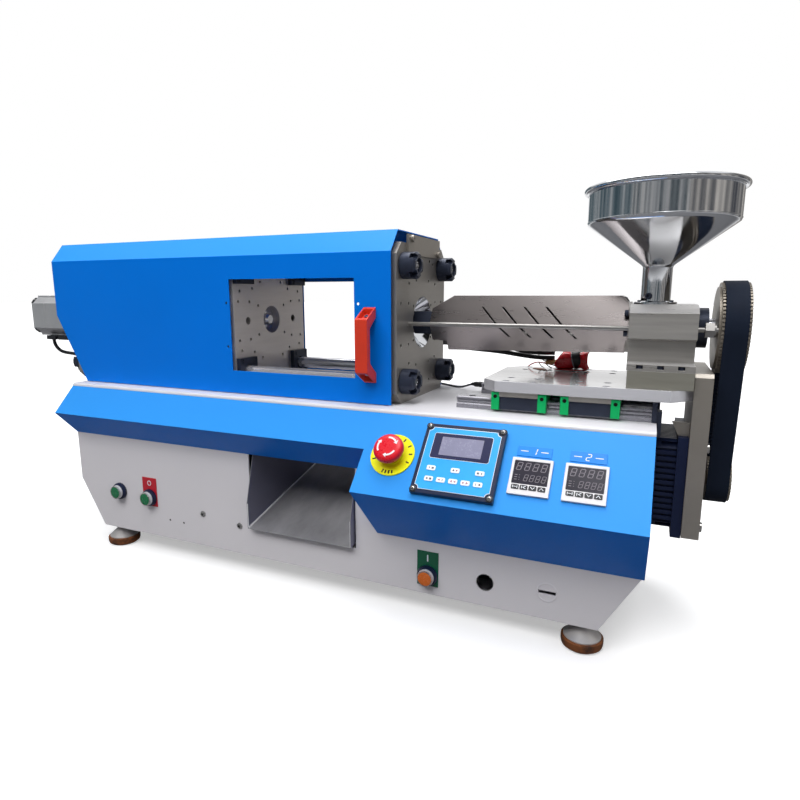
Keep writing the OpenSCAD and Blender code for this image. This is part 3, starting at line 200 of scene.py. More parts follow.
def area_light(name, place, target, size, power, mirrored=True):
    data = bpy.data.lights.new(name, "AREA")
    data.shape = "RECTANGLE"
    data.size, data.size_y = size
    data.energy = power
    lamp = bpy.data.objects.new(name, data)
    scene.collection.objects.link(lamp)
    lamp.visible_glossy = mirrored
    lamp.location = Vector(place)
    lamp.rotation_euler = (Vector(target) - Vector(place)).to_track_quat("-Z", "Y").to_euler()


area_light("overhead", (0.1, 0.05, 2.5), (0.05, 0.0, 0.3), (3.2, 1.4), 68)
area_light("front_fill", (-0.2, -2.0, 2.45), (0.05, 0.0, 0.3), (2.8, 1.2), 64, mirrored=False)
area_light("right_fill", (2.7, -1.0, 1.1), (0.2, 0.0, 0.35), (0.9, 1.4), 9, mirrored=False)


def staged_plane(name, outline, finish):
    mesh = bpy.data.meshes.new(name)
    mesh.from_pydata(outline, [], [(0, 1, 2, 3)])
    mesh.materials.append(finish)
    plane = bpy.data.objects.new(name, mesh)
    scene.collection.objects.link(plane)


floor_finish = bpy.data.materials.new("floor")
f = Nodes(floor_finish)
spot = f.new("TexCoord").outputs["Object"]
far = f.new("VectorMath", operation="LENGTH", in_0=spot).outputs["Value"]
grain = f.new("TexNoise", in_Scale=3.0, in_Detail=2.0)
tint = f.ramp(grain, (0.0, (0.80, 0.80, 0.81)), (1.0, (0.84, 0.84, 0.84)))
grey = f.ramp(grain, (0.0, (0.17, 0.17, 0.18)), (1.0, (0.20, 0.20, 0.20)))
pale = f.new("BsdfDiffuse", in_Color=tint)
dim = f.new("BsdfDiffuse", in_Color=grey)
glow = f.new("MapRange", in_Value=far, in_1=0.8, in_2=3.5, in_3=0.42, in_4=1.0)
lit = f.new("AddShader", in_0=pale, in_1=f.new("Emission", in_Color=WHITE, in_Strength=glow))
# in the machine's own reflections the floor is dim close by and white further off
far_glow = f.new("MapRange", in_Value=far, in_1=1.9, in_2=3.9, in_3=0.0, in_4=1.0)
mirrored = f.new("AddShader", in_0=dim, in_1=f.new("Emission", in_Color=WHITE, in_Strength=far_glow))
unseen = f.new("MixShader", in_0=f.either("Is Glossy Ray"), in_1=dim, in_2=mirrored)
seen = f.either("Is Camera Ray", "Is Transmission Ray")
f.new("OutputMaterial", in_Surface=f.new("MixShader", in_0=seen, in_1=unseen, in_2=lit))
SPAN = 30
staged_plane("floor", [(-SPAN, -SPAN, 0), (SPAN, -SPAN, 0), (SPAN, SPAN, 0), (-SPAN, SPAN, 0)], floor_finish)


def studio_material(name, dark, middle, bright):
    """Streaks in three shades that the metal mirrors, dull to soft light and clear to camera rays."""
    made = bpy.data.materials.new(name)
    g = Nodes(made)
    tall = g.new("Mapping", in_Vector=g.new("TexCoord").outputs["Object"], in_Scale=(1.7, 1.7, 0.10))
    streak = g.new("TexNoise", in_Vector=tall, in_Scale=1.5, in_Detail=4.0, in_Roughness=0.6)
    shown = g.new("Emission", in_Color=g.ramp(streak, (0.36, dark), (0.5, middle), (0.68, bright)))
    dull = g.new("BsdfDiffuse", in_Color=(0.3, 0.3, 0.3, 1))
    mirrored = g.new("MixShader", in_0=g.either("Is Glossy Ray"), in_1=dull, in_2=shown)
    clear = g.new("BsdfTransparent")
    surface = g.new("MixShader", in_0=g.either("Is Camera Ray"), in_1=mirrored, in_2=clear)
    g.new("OutputMaterial", in_Surface=surface)
    return made


# the studio around the camera, which the bright metal mirrors and no camera ray sees
FRONT_SHADE = studio_material("studio_front", (0.06, 0.08, 0.09), (0.30, 0.31, 0.32), (0.62, 0.60, 0.57))
LEFT_SHADE = studio_material("studio_left", (0.03, 0.06, 0.075), (0.12, 0.16, 0.18), (0.46, 0.47, 0.47))
RIGHT_SHADE = studio_material("studio_right", (0.05, 0.055, 0.07), (0.22, 0.215, 0.21), (0.64, 0.60, 0.55))
ROOF_SHADE = studio_material("studio_roof", (0.16, 0.16, 0.17), (0.26, 0.26, 0.26), (0.40, 0.39, 0.38))
WALL_X, WALL_Y, BACK_Y, ROOF_Y, CEILING = 3.4, -3.8, 4.5, -0.7, 2.9
for name, (x0, y0), (x1, y1), finish in (
    ("wall_front", (-WALL_X, WALL_Y), (WALL_X, WALL_Y), FRONT_SHADE),
    ("wall_left", (-WALL_X, WALL_Y), (-WALL_X, BACK_Y), LEFT_SHADE),
    ("wall_back", (-WALL_X, BACK_Y), (-1.3, BACK_Y), LEFT_SHADE),
    ("wall_right", (WALL_X, WALL_Y), (WALL_X, 0.3), RIGHT_SHADE),
    ("wall_behind", (WALL_X, 0.3), (1.2, BACK_Y), RIGHT_SHADE),
):
    staged_plane(name, [(x0, y0, 0), (x1, y1, 0), (x1, y1, CEILING), (x0, y0, CEILING)], finish)
roof = [(-WALL_X, WALL_Y), (WALL_X, WALL_Y), (WALL_X, ROOF_Y), (-WALL_X, ROOF_Y)]
staged_plane("ceiling", [(x, y, CEILING) for x, y in roof], ROOF_SHADE)

# -------- materials


def material(
    name, colour, metal=0.0, rough=0.45, uneven=0.08, vary=0.05, patch=9.0, grain=420.0, bump=0.02,
    stretch=(1, 1, 1), coat=0.0, coat_rough=0.1, shine=0.5, edge=0.5, second=None, facing_tone_and_light=None,
):
    """A Principled material with mottled colour, uneven gloss and a fine surface bump.

    patch and grain are the scales of the mottling and of the bump, uneven how far the roughness strays, and
    edge the millimetres by which edges look rounded. second is a colour in spots, their scale, and the noise
    levels between which it sets in. The last argument is an axis, and the colour of what looks that way: the
    lens colour on a button cap's face, and painted light and shade on the faces of other materials.
    """
    made = bpy.data.materials.new(name)
    n = Nodes(made)
    place = n.new("Mapping", in_Vector=n.new("TexCoord").outputs["Object"], in_Scale=stretch)
    cloud = n.new("TexNoise", in_Vector=place, in_Scale=patch, in_Detail=6.0, in_Roughness=0.6)
    dark = [c * (1 - vary) for c in colour]
    light = [min(1.0, c * (1 + vary)) for c in colour]
    shade = n.ramp(cloud, (0.32, dark), (0.70, light)).outputs[0]
    if second:
        spot_colour, scale, low, high = second
        spots = n.new("TexNoise", in_Vector=place, in_Scale=scale, in_Detail=8.0, in_Roughness=0.7)
        mask = n.new("MapRange", in_Value=spots, in_1=low, in_2=high, in_4=1.0)
        shade = n.new("Mix", data_type="RGBA", in_0=mask, in_6=shade, in_7=(*spot_colour, 1)).outputs[2]
    # colour by the way a face turns: on button caps the lens colour of their face, on other materials painted
    # light and shade
    if facing_tone_and_light:
        axis, tone = facing_tone_and_light
        looks = n.new("NewGeometry").outputs["Normal"]
        toward = n.new("VectorMath", operation="DOT_PRODUCT", in_0=looks, in_1=axis).outputs["Value"]
        share = n.new("MapRange", in_Value=toward, in_1=0.25, in_2=0.72, in_4=1.0)
        shade = n.new("Mix", data_type="RGBA", in_0=share, in_6=shade, in_7=(*tone, 1)).outputs[2]
    fine = n.new("TexNoise", in_Vector=place, in_Scale=grain, in_Detail=4.0, in_Roughness=0.6)
    both = n.new("Math", operation="ADD", in_0=fine, in_1=cloud)
    least, most = max(0.02, rough - uneven), min(1.0, rough + uneven)
    gloss = n.new("MapRange", in_Value=both, in_1=0.6, in_2=1.4, in_3=least, in_4=most)
    relief = n.new("Bump", in_Strength=bump, in_Distance=0.0006, in_Height=fine)
    if edge:
        rounding = n.new("Bevel", samples=4, in_Radius=edge * MM)
        n.tree.links.new(rounding.outputs[0], relief.inputs["Normal"])
    surface = n.new(
        "BsdfPrincipled", in_Base_Color=shade, in_Metallic=metal, in_Roughness=gloss, in_Normal=relief,
        in_Coat_Weight=coat, in_Coat_Roughness=coat_rough, in_Specular_IOR_Level=shine,
    )
    n.new("OutputMaterial", in_Surface=surface)
    return made


UP, ASIDE, OUT = (0, 0, 1), (1, 0, 0), (0, -1, 0)
# machined faces are brushed along one axis, so their noise is stretched
GRIND = dict(uneven=0.08, vary=0.08, stretch=(5, 0.5, 5), patch=12, grain=130, bump=0.05)
SCREW = dict(uneven=0.09, vary=0.08, patch=60, grain=300, bump=0.03, edge=0)
GLASS = dict(rough=0.2, uneven=0.04, vary=0.10, bump=0.01)
FILM = dict(rough=0.35, patch=30, grain=500, bump=0.05, coat=0.1)
CAP = dict(vary=0.05, patch=60, bump=0.01, coat=0.4, coat_rough=0.08)
SILVER = srgb(204, 206, 210)

CABINET = material("cabinet_paint", srgb(228, 225, 229), rough=0.42, vary=0.015, patch=4, bump=0.10, grain=900)
DECK = material("deck_paint", srgb(214, 213, 218), rough=0.40, vary=0.02, patch=4, bump=0.08, grain=900)
# faces turned up are mixed towards a lighter blue: painted light from above
BLUE_PAINTED_TOP_LIGHT = material(
    "blue_paint", (0.0, 0.180, 0.75), rough=0.36, vary=0.03, patch=5, bump=0.10, grain=800, shine=0.15,
    facing_tone_and_light=(UP, (0.032, 0.282, 0.76)),
)
SHEET = material(
    "stainless_sheet", srgb(140, 134, 133), metal=1.0, rough=0.28, uneven=0.02, vary=0.03,
    stretch=(0.5, 4, 4), patch=8, grain=60, bump=0.0, edge=0,
)
BAND = material(
    "band_steel", srgb(92, 90, 92), metal=1.0, rough=0.34, uneven=0.06, vary=0.06,
    stretch=(5, 1, 1), patch=12, grain=120, bump=0.03, edge=0,
)
# faces turned towards +x, the inner face of the chute's left wall, are painted a darker blue-grey: painted shade
CHUTE = material(
    "chute_stainless", srgb(168, 167, 170), metal=0.45, rough=0.42, uneven=0.12, vary=0.20,
    stretch=(3, 1, 3), patch=9, grain=160, bump=0.06, facing_tone_and_light=(ASIDE, srgb(136, 136, 156)),
)
GROUND = material("ground_steel", srgb(160, 156, 151), metal=0.7, rough=0.36, **GRIND)
# a lighter copy of the ground steel for the moving platen: painted light
PLATEN = material("platen_steel", srgb(214, 208, 205), metal=0.66, rough=0.36, **GRIND)
RAIL = material(
    "rail_steel", srgb(150, 149, 156), metal=0.75, rough=0.27, vary=0.06,
    stretch=(0.3, 5, 5), patch=14, grain=200, bump=0.03, edge=0,
)
# faces turned up, such as the feed block's top, chamfer and flange, are painted lighter: painted light
MILLED_PAINTED_TOP_LIGHT = material(
    "milled_steel", srgb(162, 159, 155), metal=0.5, rough=0.36, uneven=0.14, vary=0.17,
    stretch=(0.35, 3, 5), patch=20, grain=120, bump=0.10, facing_tone_and_light=(UP, srgb(206, 204, 203)),
)
# faces turned up are painted lighter: painted light
RISER_PAINTED_TOP_LIGHT = material(
    "riser_steel", srgb(146, 144, 134), metal=0.5, rough=0.36, uneven=0.10, vary=0.12,
    stretch=(0.5, 3, 4), patch=16, grain=110, bump=0.06, facing_tone_and_light=(UP, srgb(190, 188, 184)),
)
# faces turned up are painted darker than the sides: painted shade on the top, for its dim reflection
PLATE = material(
    "ground_plate", srgb(224, 224, 230), metal=0.6, rough=0.15, uneven=0.07, vary=0.04,
    stretch=(0.5, 5, 5), patch=14, grain=120, bump=0.03, facing_tone_and_light=(UP, srgb(198, 197, 198)),
)
CHROME = material(
    "bright_steel", srgb(226, 227, 234), metal=0.78, rough=0.18, uneven=0.07, vary=0.04,
    stretch=(0.3, 5, 5), patch=12, grain=220, edge=0,
)
POLISHED = material(
    "polished_steel", srgb(206, 208, 212), metal=1.0, rough=0.10, uneven=0.05, vary=0.03,
    patch=10, bump=0.012, grain=70, edge=0,
)
ALU = material(
    "machined_aluminium", srgb(160, 154, 146), metal=0.7, rough=0.40, uneven=0.10,
    stretch=(0.6, 4, 1), patch=20, grain=190, bump=0.05,
)
CAST = material("cast_aluminium", srgb(204, 204, 206), metal=0.7, rough=0.46, patch=26, grain=520, bump=0.12)
ZINC = material("zinc_steel", srgb(190, 188, 185), metal=1.0, rough=0.28, **SCREW)
NUT_STEEL = material("nut_steel", srgb(150, 148, 146), metal=0.8, rough=0.34, **SCREW)
PULLEY = material(
    "pulley_aluminium", srgb(150, 142, 131), metal=0.6, rough=0.42, vary=0.07,
    patch=18, grain=190, bump=0.04, edge=0,
)
FOOT = material(
    "foot_casting", srgb(204, 201, 200), metal=0.5, rough=0.42, uneven=0.1, vary=0.08,
    patch=50, grain=300, bump=0.06,
)
OXIDE = material(
    "black_oxide", srgb(46, 52, 68), metal=0.4, rough=0.38, uneven=0.1, vary=0.15,
    patch=40, grain=300, bump=0.04, shine=0.4,
)
MOTOR = material(
    "motor_black", srgb(22, 32, 62), metal=0.1, rough=0.44, vary=0.12, patch=24, grain=500, bump=0.08, shine=0.3
)
BLACK = material("black_plastic", srgb(28, 29, 34), rough=0.46, vary=0.12, patch=30, grain=600, bump=0.08)
CABLE = material("cable_jacket", srgb(18, 18, 24), rough=0.38, vary=0.12, patch=50, grain=400, bump=0.05, edge=0)
BELT = material(
    "belt_rubber", srgb(25, 32, 46), rough=0.62, vary=0.08, patch=30, grain=600, bump=0.10, shine=0.10
)
PAD = material(
    "pad_rubber", srgb(132, 80, 46), rough=0.52, vary=0.16, patch=60, grain=500, bump=0.10,
    second=(srgb(58, 44, 38), 40, 0.50, 0.64),
)
NYLON = material("nylon", srgb(220, 214, 196), rough=0.5, bump=0.05)
BRONZE = material("bronze", srgb(196, 156, 84), metal=1.0, rough=0.3, vary=0.08, bump=0.04)
ORANGE_RED = material("handle_plastic", srgb(214, 58, 34), rough=0.40, vary=0.06, patch=30, grain=500, bump=0.06)
GREEN_CAP = material(
    "end_cap_green", srgb(3, 170, 94), rough=0.42, vary=0.06, patch=60, grain=500, bump=0.05, shine=0.25
)
BOOT = material(
    "silicone_sleeve", srgb(214, 18, 38), rough=0.27, vary=0.12, patch=70, grain=500, bump=0.2,
    second=(srgb(236, 66, 74), 50, 0.55, 0.7), coat=0.35, coat_rough=0.14,
)
WIRE_RED = material("wire_red", srgb(190, 30, 34), rough=0.42, vary=0.10, patch=80, grain=500, bump=0.05)
# a light grey ring on the edge of the boot's tie: painted highlight
TIE_EDGE_HIGHLIGHT = material("tape_edge", srgb(150, 150, 160), rough=0.32, vary=0.08, patch=60, bump=0.04, edge=0)
TAN = material("glass_sleeve", srgb(226, 176, 120), rough=0.62, vary=0.12, patch=140, grain=900, bump=0.3)
LABEL = material(
    "label_film", srgb(2, 124, 216), rough=0.36, vary=0.04, patch=30, grain=500, bump=0.04, shine=0.3
)
LABEL_RED = material("label_red", srgb(196, 26, 44), **FILM)
LABEL_GREEN = material("label_green", srgb(2, 92, 62), **FILM)
# near-white, for lines along the chute's folds and rims round the platen's holes: painted highlights
FOLD_HIGHLIGHT = material("fold_steel", srgb(240, 240, 242), metal=0.1, rough=0.34, vary=0.06, patch=30, bump=0.03, edge=0)
INK = material("white_print", srgb(226, 229, 236), vary=0.02, shine=0.3)
KEY_GREY = material("key_print_grey", srgb(92, 88, 98))
KEY_RED = material("key_print_red", srgb(150, 86, 110))
DARK_INK = material("dark_print", srgb(24, 26, 34))
BEZEL = material("bezel_black", srgb(22, 32, 60), rough=0.34, vary=0.10, patch=40, bump=0.04, shine=0.35)
OVERLAY = material("membrane_film", srgb(44, 158, 228), rough=0.34, patch=14, grain=700, bump=0.07, shine=0.3)
LENS = material("screen_lens", srgb(48, 50, 78), patch=12, shine=0.25, **GLASS)
LCD = material(
    "lcd_grey", srgb(128, 128, 152), rough=0.26, uneven=0.06, vary=0.07, patch=40, bump=0.01, shine=0.4
)
DISPLAY = material("display_lens", srgb(42, 40, 50), patch=30, shine=0.2, **GLASS)
SEGMENT = material("segment_grey", srgb(122, 116, 124), rough=0.4, patch=60, shine=0.3)
WHITE_PLASTIC = material(
    "controller_white", srgb(214, 212, 216), rough=0.34, vary=0.03, patch=40, grain=600, bump=0.05, shine=0.3
)
BTN_GREEN = material("button_green", SILVER, rough=0.24, facing_tone_and_light=(OUT, srgb(8, 112, 66)), **CAP)
BTN_ORANGE = material("button_orange", SILVER, rough=0.26, facing_tone_and_light=(OUT, srgb(214, 106, 30)), **CAP)
YELLOW = material("estop_yellow", srgb(232, 232, 16), rough=0.40, vary=0.04, patch=40, bump=0.03, shine=0.3)
RED = material("estop_red", srgb(208, 16, 36), rough=0.30, patch=50, shine=0.35, coat=0.2)
# near-black for the insides of sockets, centre holes, cross recesses and holes: painted shade
HOLE = material("deep_dark", srgb(12, 12, 14), rough=0.8, vary=0.2, patch=60, bump=0.05)

# -------- CAD nodes: finish

FINISH = (
    (CABINET, "base_cabinet"),
    (DECK, "deck_plate"),
    (BLUE_PAINTED_TOP_LIGHT, "console_cover hood"),
    (CHUTE, "chute"),
    (FOOT, "levelling_feet"),
    (PAD, "foot_pads"),
    (BLACK, "drive_units motor_fittings estop_stem"),
    (GROUND, "fixed_platen rear_platen"),
    (PLATEN, "moving_platen"),
    (ALU, "platen_end_plate screw_bearing shaft_coupling motor_plate"),
    (CHROME, "tie_bars ball_nut ball_screw plasticising_screw"),
    (OXIDE, "tie_bar_nuts bush_retainers rail_stops guide_blocks carriage_screws nozzle thrust_housing"),
    (CAST, "motor_bracket clamp_motor"),
    (NYLON, "hood_runners"),
    (BRONZE, "guide_bushes"),
    (ORANGE_RED, "hood_handle"),
    (RAIL, "linear_rails"),
    (NUT_STEEL, "pull_rods"),
    (GREEN_CAP, "block_end_caps"),
    (PLATE, "carriage_plate"),
    (RISER_PAINTED_TOP_LIGHT, "riser_block"),
    (MILLED_PAINTED_TOP_LIGHT, "feed_block"),
    (ZINC, "barrel"),
    (BAND, "heater_bands"),
    (SHEET, "heater_cover"),
    (MOTOR, "injection_motor"),
    (PULLEY, "screw_pulley motor_pulley"),
    (LABEL, "panel_plates"),
    (BEZEL, "control_panel button_bezels"),
    (WHITE_PLASTIC, "temperature_controllers"),
    (BTN_GREEN, "left_button middle_button"),
    (BTN_ORANGE, "right_button"),
    (YELLOW, "estop_base"),
    (RED, "estop_head"),
)
# nodes with a real bevel on their edges, and its width in millimetres
BEVELS = {
    "chute": 0.3, "control_panel": 1.2, "riser_block": 0.5, "motor_bracket": 0.8, "hood_handle": 0.9,
    "hood_runners": 0.4, "rail_stops": 0.5, "temperature_controllers": 0.6, "drive_units": 0.8,
    "guide_blocks": 0.3, "panel_plates": 0.25, "clamp_motor": 0.6, "motor_fittings": 0.8, "heater_cover": 0.3,
}
FLAT_ANGLE, BEVEL_ANGLE, SMOOTH_ANGLE = math.radians(0.5), math.radians(40), math.radians(32)
WELD_GAP = 0.01 * MM


def modifier(thing, kind, **values):
    made = thing.modifiers.new(kind.lower(), kind)
    for key, value in values.items():
        setattr(made, key, value)


for finish, names in FINISH:
    for name in names.split():
        node = nodes[name]
        mesh = node.data
        mesh.materials.clear()
        mesh.materials.append(finish)
        for imported in ("custom_normal", "sharp_edge"):
            if imported in mesh.attributes:
                mesh.attributes.remove(mesh.attributes[imported])
        mesh.shade_smooth()
        modifier(node, "WELD", merge_threshold=WELD_GAP)
        if name in BEVELS:
            modifier(node, "DECIMATE", decimate_type="DISSOLVE", angle_limit=FLAT_ANGLE)
            width = BEVELS[name] * MM
            modifier(node, "BEVEL", width=width, segments=2, limit_method="ANGLE", angle_limit=BEVEL_ANGLE)
            modifier(node, "WEIGHTED_NORMAL", weight=80)
        else:
            modifier(node, "EDGE_SPLIT", split_angle=SMOOTH_ANGLE)

# -------- mesh building


def shift(x, y, z):
    return Matrix.Translation((x * MM, y * MM, z * MM))


def polar(radius, degrees):
    a = math.radians(degrees)
    return radius * math.cos(a), radius * math.sin(a)


def arc(radius, first, last, steps):
    """Points on a circle from one angle to another, in degrees."""
    return [polar(radius, first + (last - first) * k / steps) for k in range(steps + 1)]


def circle(radius, sides):
    angles = [2 * math.pi * k / sides for k in range(sides)]
    return [(radius * math.cos(a), radius * math.sin(a)) for a in angles]


def skin(rings, sides):
    """The faces round a stack of rings of vertices, closed at both ends."""
    faces = [list(range(sides))[::-1], [(rings - 1) * sides + k for k in range(sides)]]
    for i in range(rings - 1):
        low, high = i * sides, (i + 1) * sides
        faces += [[low + k, low + (k + 1) % sides, high + (k + 1) % sides, high + k] for k in range(sides)]
    return faces


def curve_through(points, steps):
    """Catmull-Rom points through the given ones."""
    ends = [points[0] * 2 - points[1]] + points + [points[-1] * 2 - points[-2]]
    path = []
    for a, b, c, d in zip(ends, ends[1:], ends[2:], ends[3:]):
        bend, twist = 2 * a - 5 * b + 4 * c - d, 3 * b - a - 3 * c + d
        for t in [k / steps for k in range(steps)]:
            path.append(0.5 * (2 * b + (c - a) * t + bend * t * t + twist * t**3))
    return path + [points[-1]]


def rounded(width, height, radius, steps=5, centre=(0, 0)):
    """The outline of a rectangle with rounded corners."""
    out = []
    for sx, sy, turn in ((1, 1, 0), (-1, 1, 1), (-1, -1, 2), (1, -1, 3)):
        x, y = centre[0] + sx * (width / 2 - radius), centre[1] + sy * (height / 2 - radius)
        for k in range(steps + 1):
            a = QUARTER * (turn + k / steps)
            out.append((x + radius * math.cos(a), y + radius * math.sin(a)))
    return out


RIM_ANGLE = math.radians(50)


class Kit:
    """Collects simple solids into one mesh, with a material for each."""

    def __init__(self):
        self.vertices = []
        self.faces = []
        self.slots = []
        self.materials = []

    def add(self, place, vertices, faces, finish):
        start = len(self.vertices)
        self.vertices += [tuple(place @ Vector([c * MM for c in v])) for v in vertices]
        if finish not in self.materials:
            self.materials.append(finish)
        self.faces += [[start + i for i in face] for face in faces]
        self.slots += [self.materials.index(finish)] * len(faces)

    def lathe(self, place, profile, finish, sides):
        """Turns (radius, height) points about local z. A radius of 0 closes the end."""
        vertices, rings, faces = [], [], []
        for radius, z in profile:
            first = len(vertices)
            rings.append([first + k for k in range(sides)] if radius else [first] * sides)
            vertices += [(x, y, z) for x, y in circle(radius, sides)] if radius else [(0, 0, z)]
        for low, high in zip(rings, rings[1:]):
            for k in range(sides):
                n = (k + 1) % sides
                quad = [low[k], low[n], high[n], high[k]]
                faces.append([v for i, v in enumerate(quad) if v != quad[i - 1]])
        self.add(place, vertices, faces, finish)

    def prism(self, place, outline, low, high, finish):
        """Extrudes a closed outline from low to high."""
        vertices = [(x, y, z) for z in (low, high) for x, y in outline]
        self.add(place, vertices, skin(2, len(outline)), finish)

    def block(self, place, size, finish, centre=(0, 0, 0)):
        x, y, z = centre
        sx, sy, sz = [s / 2 for s in size]
        outline = [(x - sx, y - sy), (x + sx, y - sy), (x + sx, y + sy), (x - sx, y + sy)]
        self.prism(place, outline, z - sz, z + sz, finish)

    def tube(self, place, points, radius, finish, sides, smooth=3):
        """A round tube along a smoothed path; the points are in millimetres."""
        path = curve_through([Vector(p) for p in points], smooth)
        vertices = []
        side = (path[1] - path[0]).orthogonal()
        for i, p in enumerate(path):
            ahead = (path[min(i + 1, len(path) - 1)] - path[max(i - 1, 0)]).normalized()
            side = (side - ahead * side.dot(ahead)).normalized()
            other = ahead.cross(side)
            vertices += [tuple(p + radius * (u * side + v * other)) for u, v in circle(1, sides)]
        self.add(place, vertices, skin(len(path), sides), finish)

    def object(self, name, body, slot, bevel=0.0, sharp=35, stands_for=()):
        """Makes the piece that rides on a body; sharp is the angle of its edges, in degrees."""
        mesh = bpy.data.meshes.new(name)
        mesh.from_pydata(self.vertices, [], self.faces)
        for finish in self.materials:
            mesh.materials.append(finish)
        mesh.polygons.foreach_set("material_index", self.slots)
        mesh.shade_smooth()
        mesh.set_sharp_from_angle(angle=math.radians(sharp))
        made = bpy.data.objects.new(name, mesh)
        scene.collection.objects.link(made)
        if bevel:
            modifier(made, "BEVEL", width=bevel * MM, segments=2, limit_method="ANGLE", angle_limit=RIM_ANGLE)
        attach(made, body)
        if stands_for:
            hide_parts(*stands_for)
        return made


def socket_screw(kit, place, radius, height, finish=OXIDE, sides=28):
    """Cap head with a hexagon socket."""
    inner = radius * 0.52
    rim = [(radius, 0), (radius, height * 0.88), (radius * 0.93, height)]
    kit.lathe(place, rim + [(inner * 1.08, height), (inner, height - 0.2)], finish, sides)
    kit.lathe(place, [(inner, height - 0.15), (inner * 0.96, height * 0.45), (0, height * 0.4)], finish, 6)


def socket_screws(name, body, slot, places, *screw):
    """Equal socket screws as one piece."""
    kit = Kit()
    for place in places:
        socket_screw(kit, place, *screw)
    kit.object(name, body, slot)


def pan_screw(kit, place, radius, height):
    """Domed head with a cross recess, drawn as two near-black bars: painted shade."""
    dome = ((1, 0), (1, 0.25), (0.9, 0.62), (0.62, 0.9), (0, 1))
    kit.lathe(place, [(radius * r, height * z) for r, z in dome], ZINC, 28)
    for turn in (0, QUARTER):
        size = (radius * 1.05, radius * 0.26, height * 0.2)
        kit.block(place @ spin(turn + 0.5), size, HOLE, (0, 0, height * 0.96))


# -------- hopper

HOPPER_X, HOPPER_SIDES = 326.0, 144
BAND_R, NECK_R, WALL = 90.0, 18.0, 1.2
TOP_Z, BAND_Z, NECK_Z, SEAT_Z = 286.0, 244.0, 192.0, 146.0
place = upright(HOPPER_X, 0, 0)
kit = Kit()
outer = [
    (26.0, SEAT_Z - 3), (26.0, SEAT_Z - 0.6), (25.4, SEAT_Z), (19.5, SEAT_Z), (18.2, SEAT_Z + 1.2),
    (NECK_R, SEAT_Z + 3), (NECK_R, NECK_Z - 3), (18.6, NECK_Z - 1), (20.6, NECK_Z + 1.2),
    (BAND_R - 3.0, BAND_Z - 2.0), (BAND_R - 0.8, BAND_Z - 0.2), (BAND_R, BAND_Z + 2.2), (BAND_R, BAND_Z + 3.2),
    (BAND_R, TOP_Z - 4.2), (BAND_R, TOP_Z - 3.2),
]
lip = [(BAND_R + 2.4 + r, TOP_Z + z) for r, z in arc(3.6, -120, 180, 15)]
inner = [
    (BAND_R - WALL, TOP_Z), (BAND_R - WALL, BAND_Z + 2.6), (BAND_R - WALL - 2.6, BAND_Z - 1.0),
    (18.6, NECK_Z + 1.6), (13.0, NECK_Z - 2.5), (12.8, SEAT_Z - 2.9),
]
bead = [(BAND_R + r, BAND_Z + z) for r, z in ((0.02, 2.0), (0.35, 2.6), (0.35, 3.4), (0.02, 4.0))]
seam = polar(18.2, 200)
kit.lathe(place, outer + lip + inner, POLISHED, HOPPER_SIDES)
kit.tube(place, [(*seam, NECK_Z - 2), (*seam, SEAT_Z + 4)], 0.5, ZINC, 8, 1)
kit.lathe(place, bead, POLISHED, HOPPER_SIDES)
neck_screw = place @ spin(math.radians(-115)) @ shift(NECK_R - 0.5, 0, SEAT_Z + 7.5) @ spin(QUARTER, "Y")
socket_screw(kit, neck_screw, 4.0, 4.2)
kit.object("hopper_body", "carriage", "polished_steel", sharp=40, stands_for=("hopper",))

# -------- belt


def belt_path(big, small, z_big, z_small, step):
    """Points round two circles and their outer tangents, evenly spaced, with outward directions."""
    gap = z_big - z_small
    lean = math.asin((big - small) / gap)
    run = math.sqrt(gap**2 - (big - small) ** 2)
    arc_big, arc_small = big * (math.pi + 2 * lean), small * (math.pi - 2 * lean)
    total = arc_big + arc_small + 2 * run

    def on_circle(radius, z, a):
        n = Vector((math.cos(a), math.sin(a)))
        return Vector((0, z)) + radius * n, n

    def between(start, end, share):
        return start[0] + (end[0] - start[0]) * share, start[1]

    path = []
    count = round(total / step)
    for d in [total * i / count for i in range(count)]:
        down, up = d - arc_big, d - arc_big - run - arc_small
        if down < 0:
            path.append(on_circle(big, z_big, -lean + d / big))
        elif down < run:
            a = math.pi + lean
            path.append(between(on_circle(big, z_big, a), on_circle(small, z_small, a), down / run))
        elif up < 0:
            path.append(on_circle(small, z_small, math.pi + lean + (down - run) / small))
        else:
            path.append(between(on_circle(small, z_small, -lean), on_circle(big, z_big, -lean), up / run))
    return path


# the path runs along the back of the belt in steps of 1 mm, five to a tooth
PITCH, PITCH_LINE = 5, 0.57
BELT_X, BELT_WIDTH, BELT_RISE, BELT_BODY, TOOTH = 403.0, 25.0, 2.15, 1.85, 1.55
SERVO_Z = -83.0
big_r, small_r = [teeth * PITCH / 2 / math.pi - PITCH_LINE + BELT_RISE for teeth in (72, 36)]
path = belt_path(big_r, small_r, AXIS_Z, SERVO_Z, 1.0)
vertices, faces = [], []
for i, (p, n) in enumerate(path):
    depth = BELT_BODY + (TOOTH if i % PITCH < 2 else 0.0)
    for x in (BELT_X, BELT_X + BELT_WIDTH):
        vertices += [(x, p.x, p.y), (x, p.x - n.x * depth, p.y - n.y * depth)]
    a, b = 4 * i, 4 * ((i + 1) % len(path))
    faces += [[a, a + 2, b + 2, b], [a + 1, b + 1, b + 3, a + 3]]
    faces += [[a, b, b + 1, a + 1], [a + 2, a + 3, b + 3, b + 2]]
kit = Kit()
kit.add(HERE, vertices, faces, BELT)
kit.object("toothed_belt", "carriage", "belt_rubber", sharp=30, stands_for=("drive_belt",))

# -------- leads

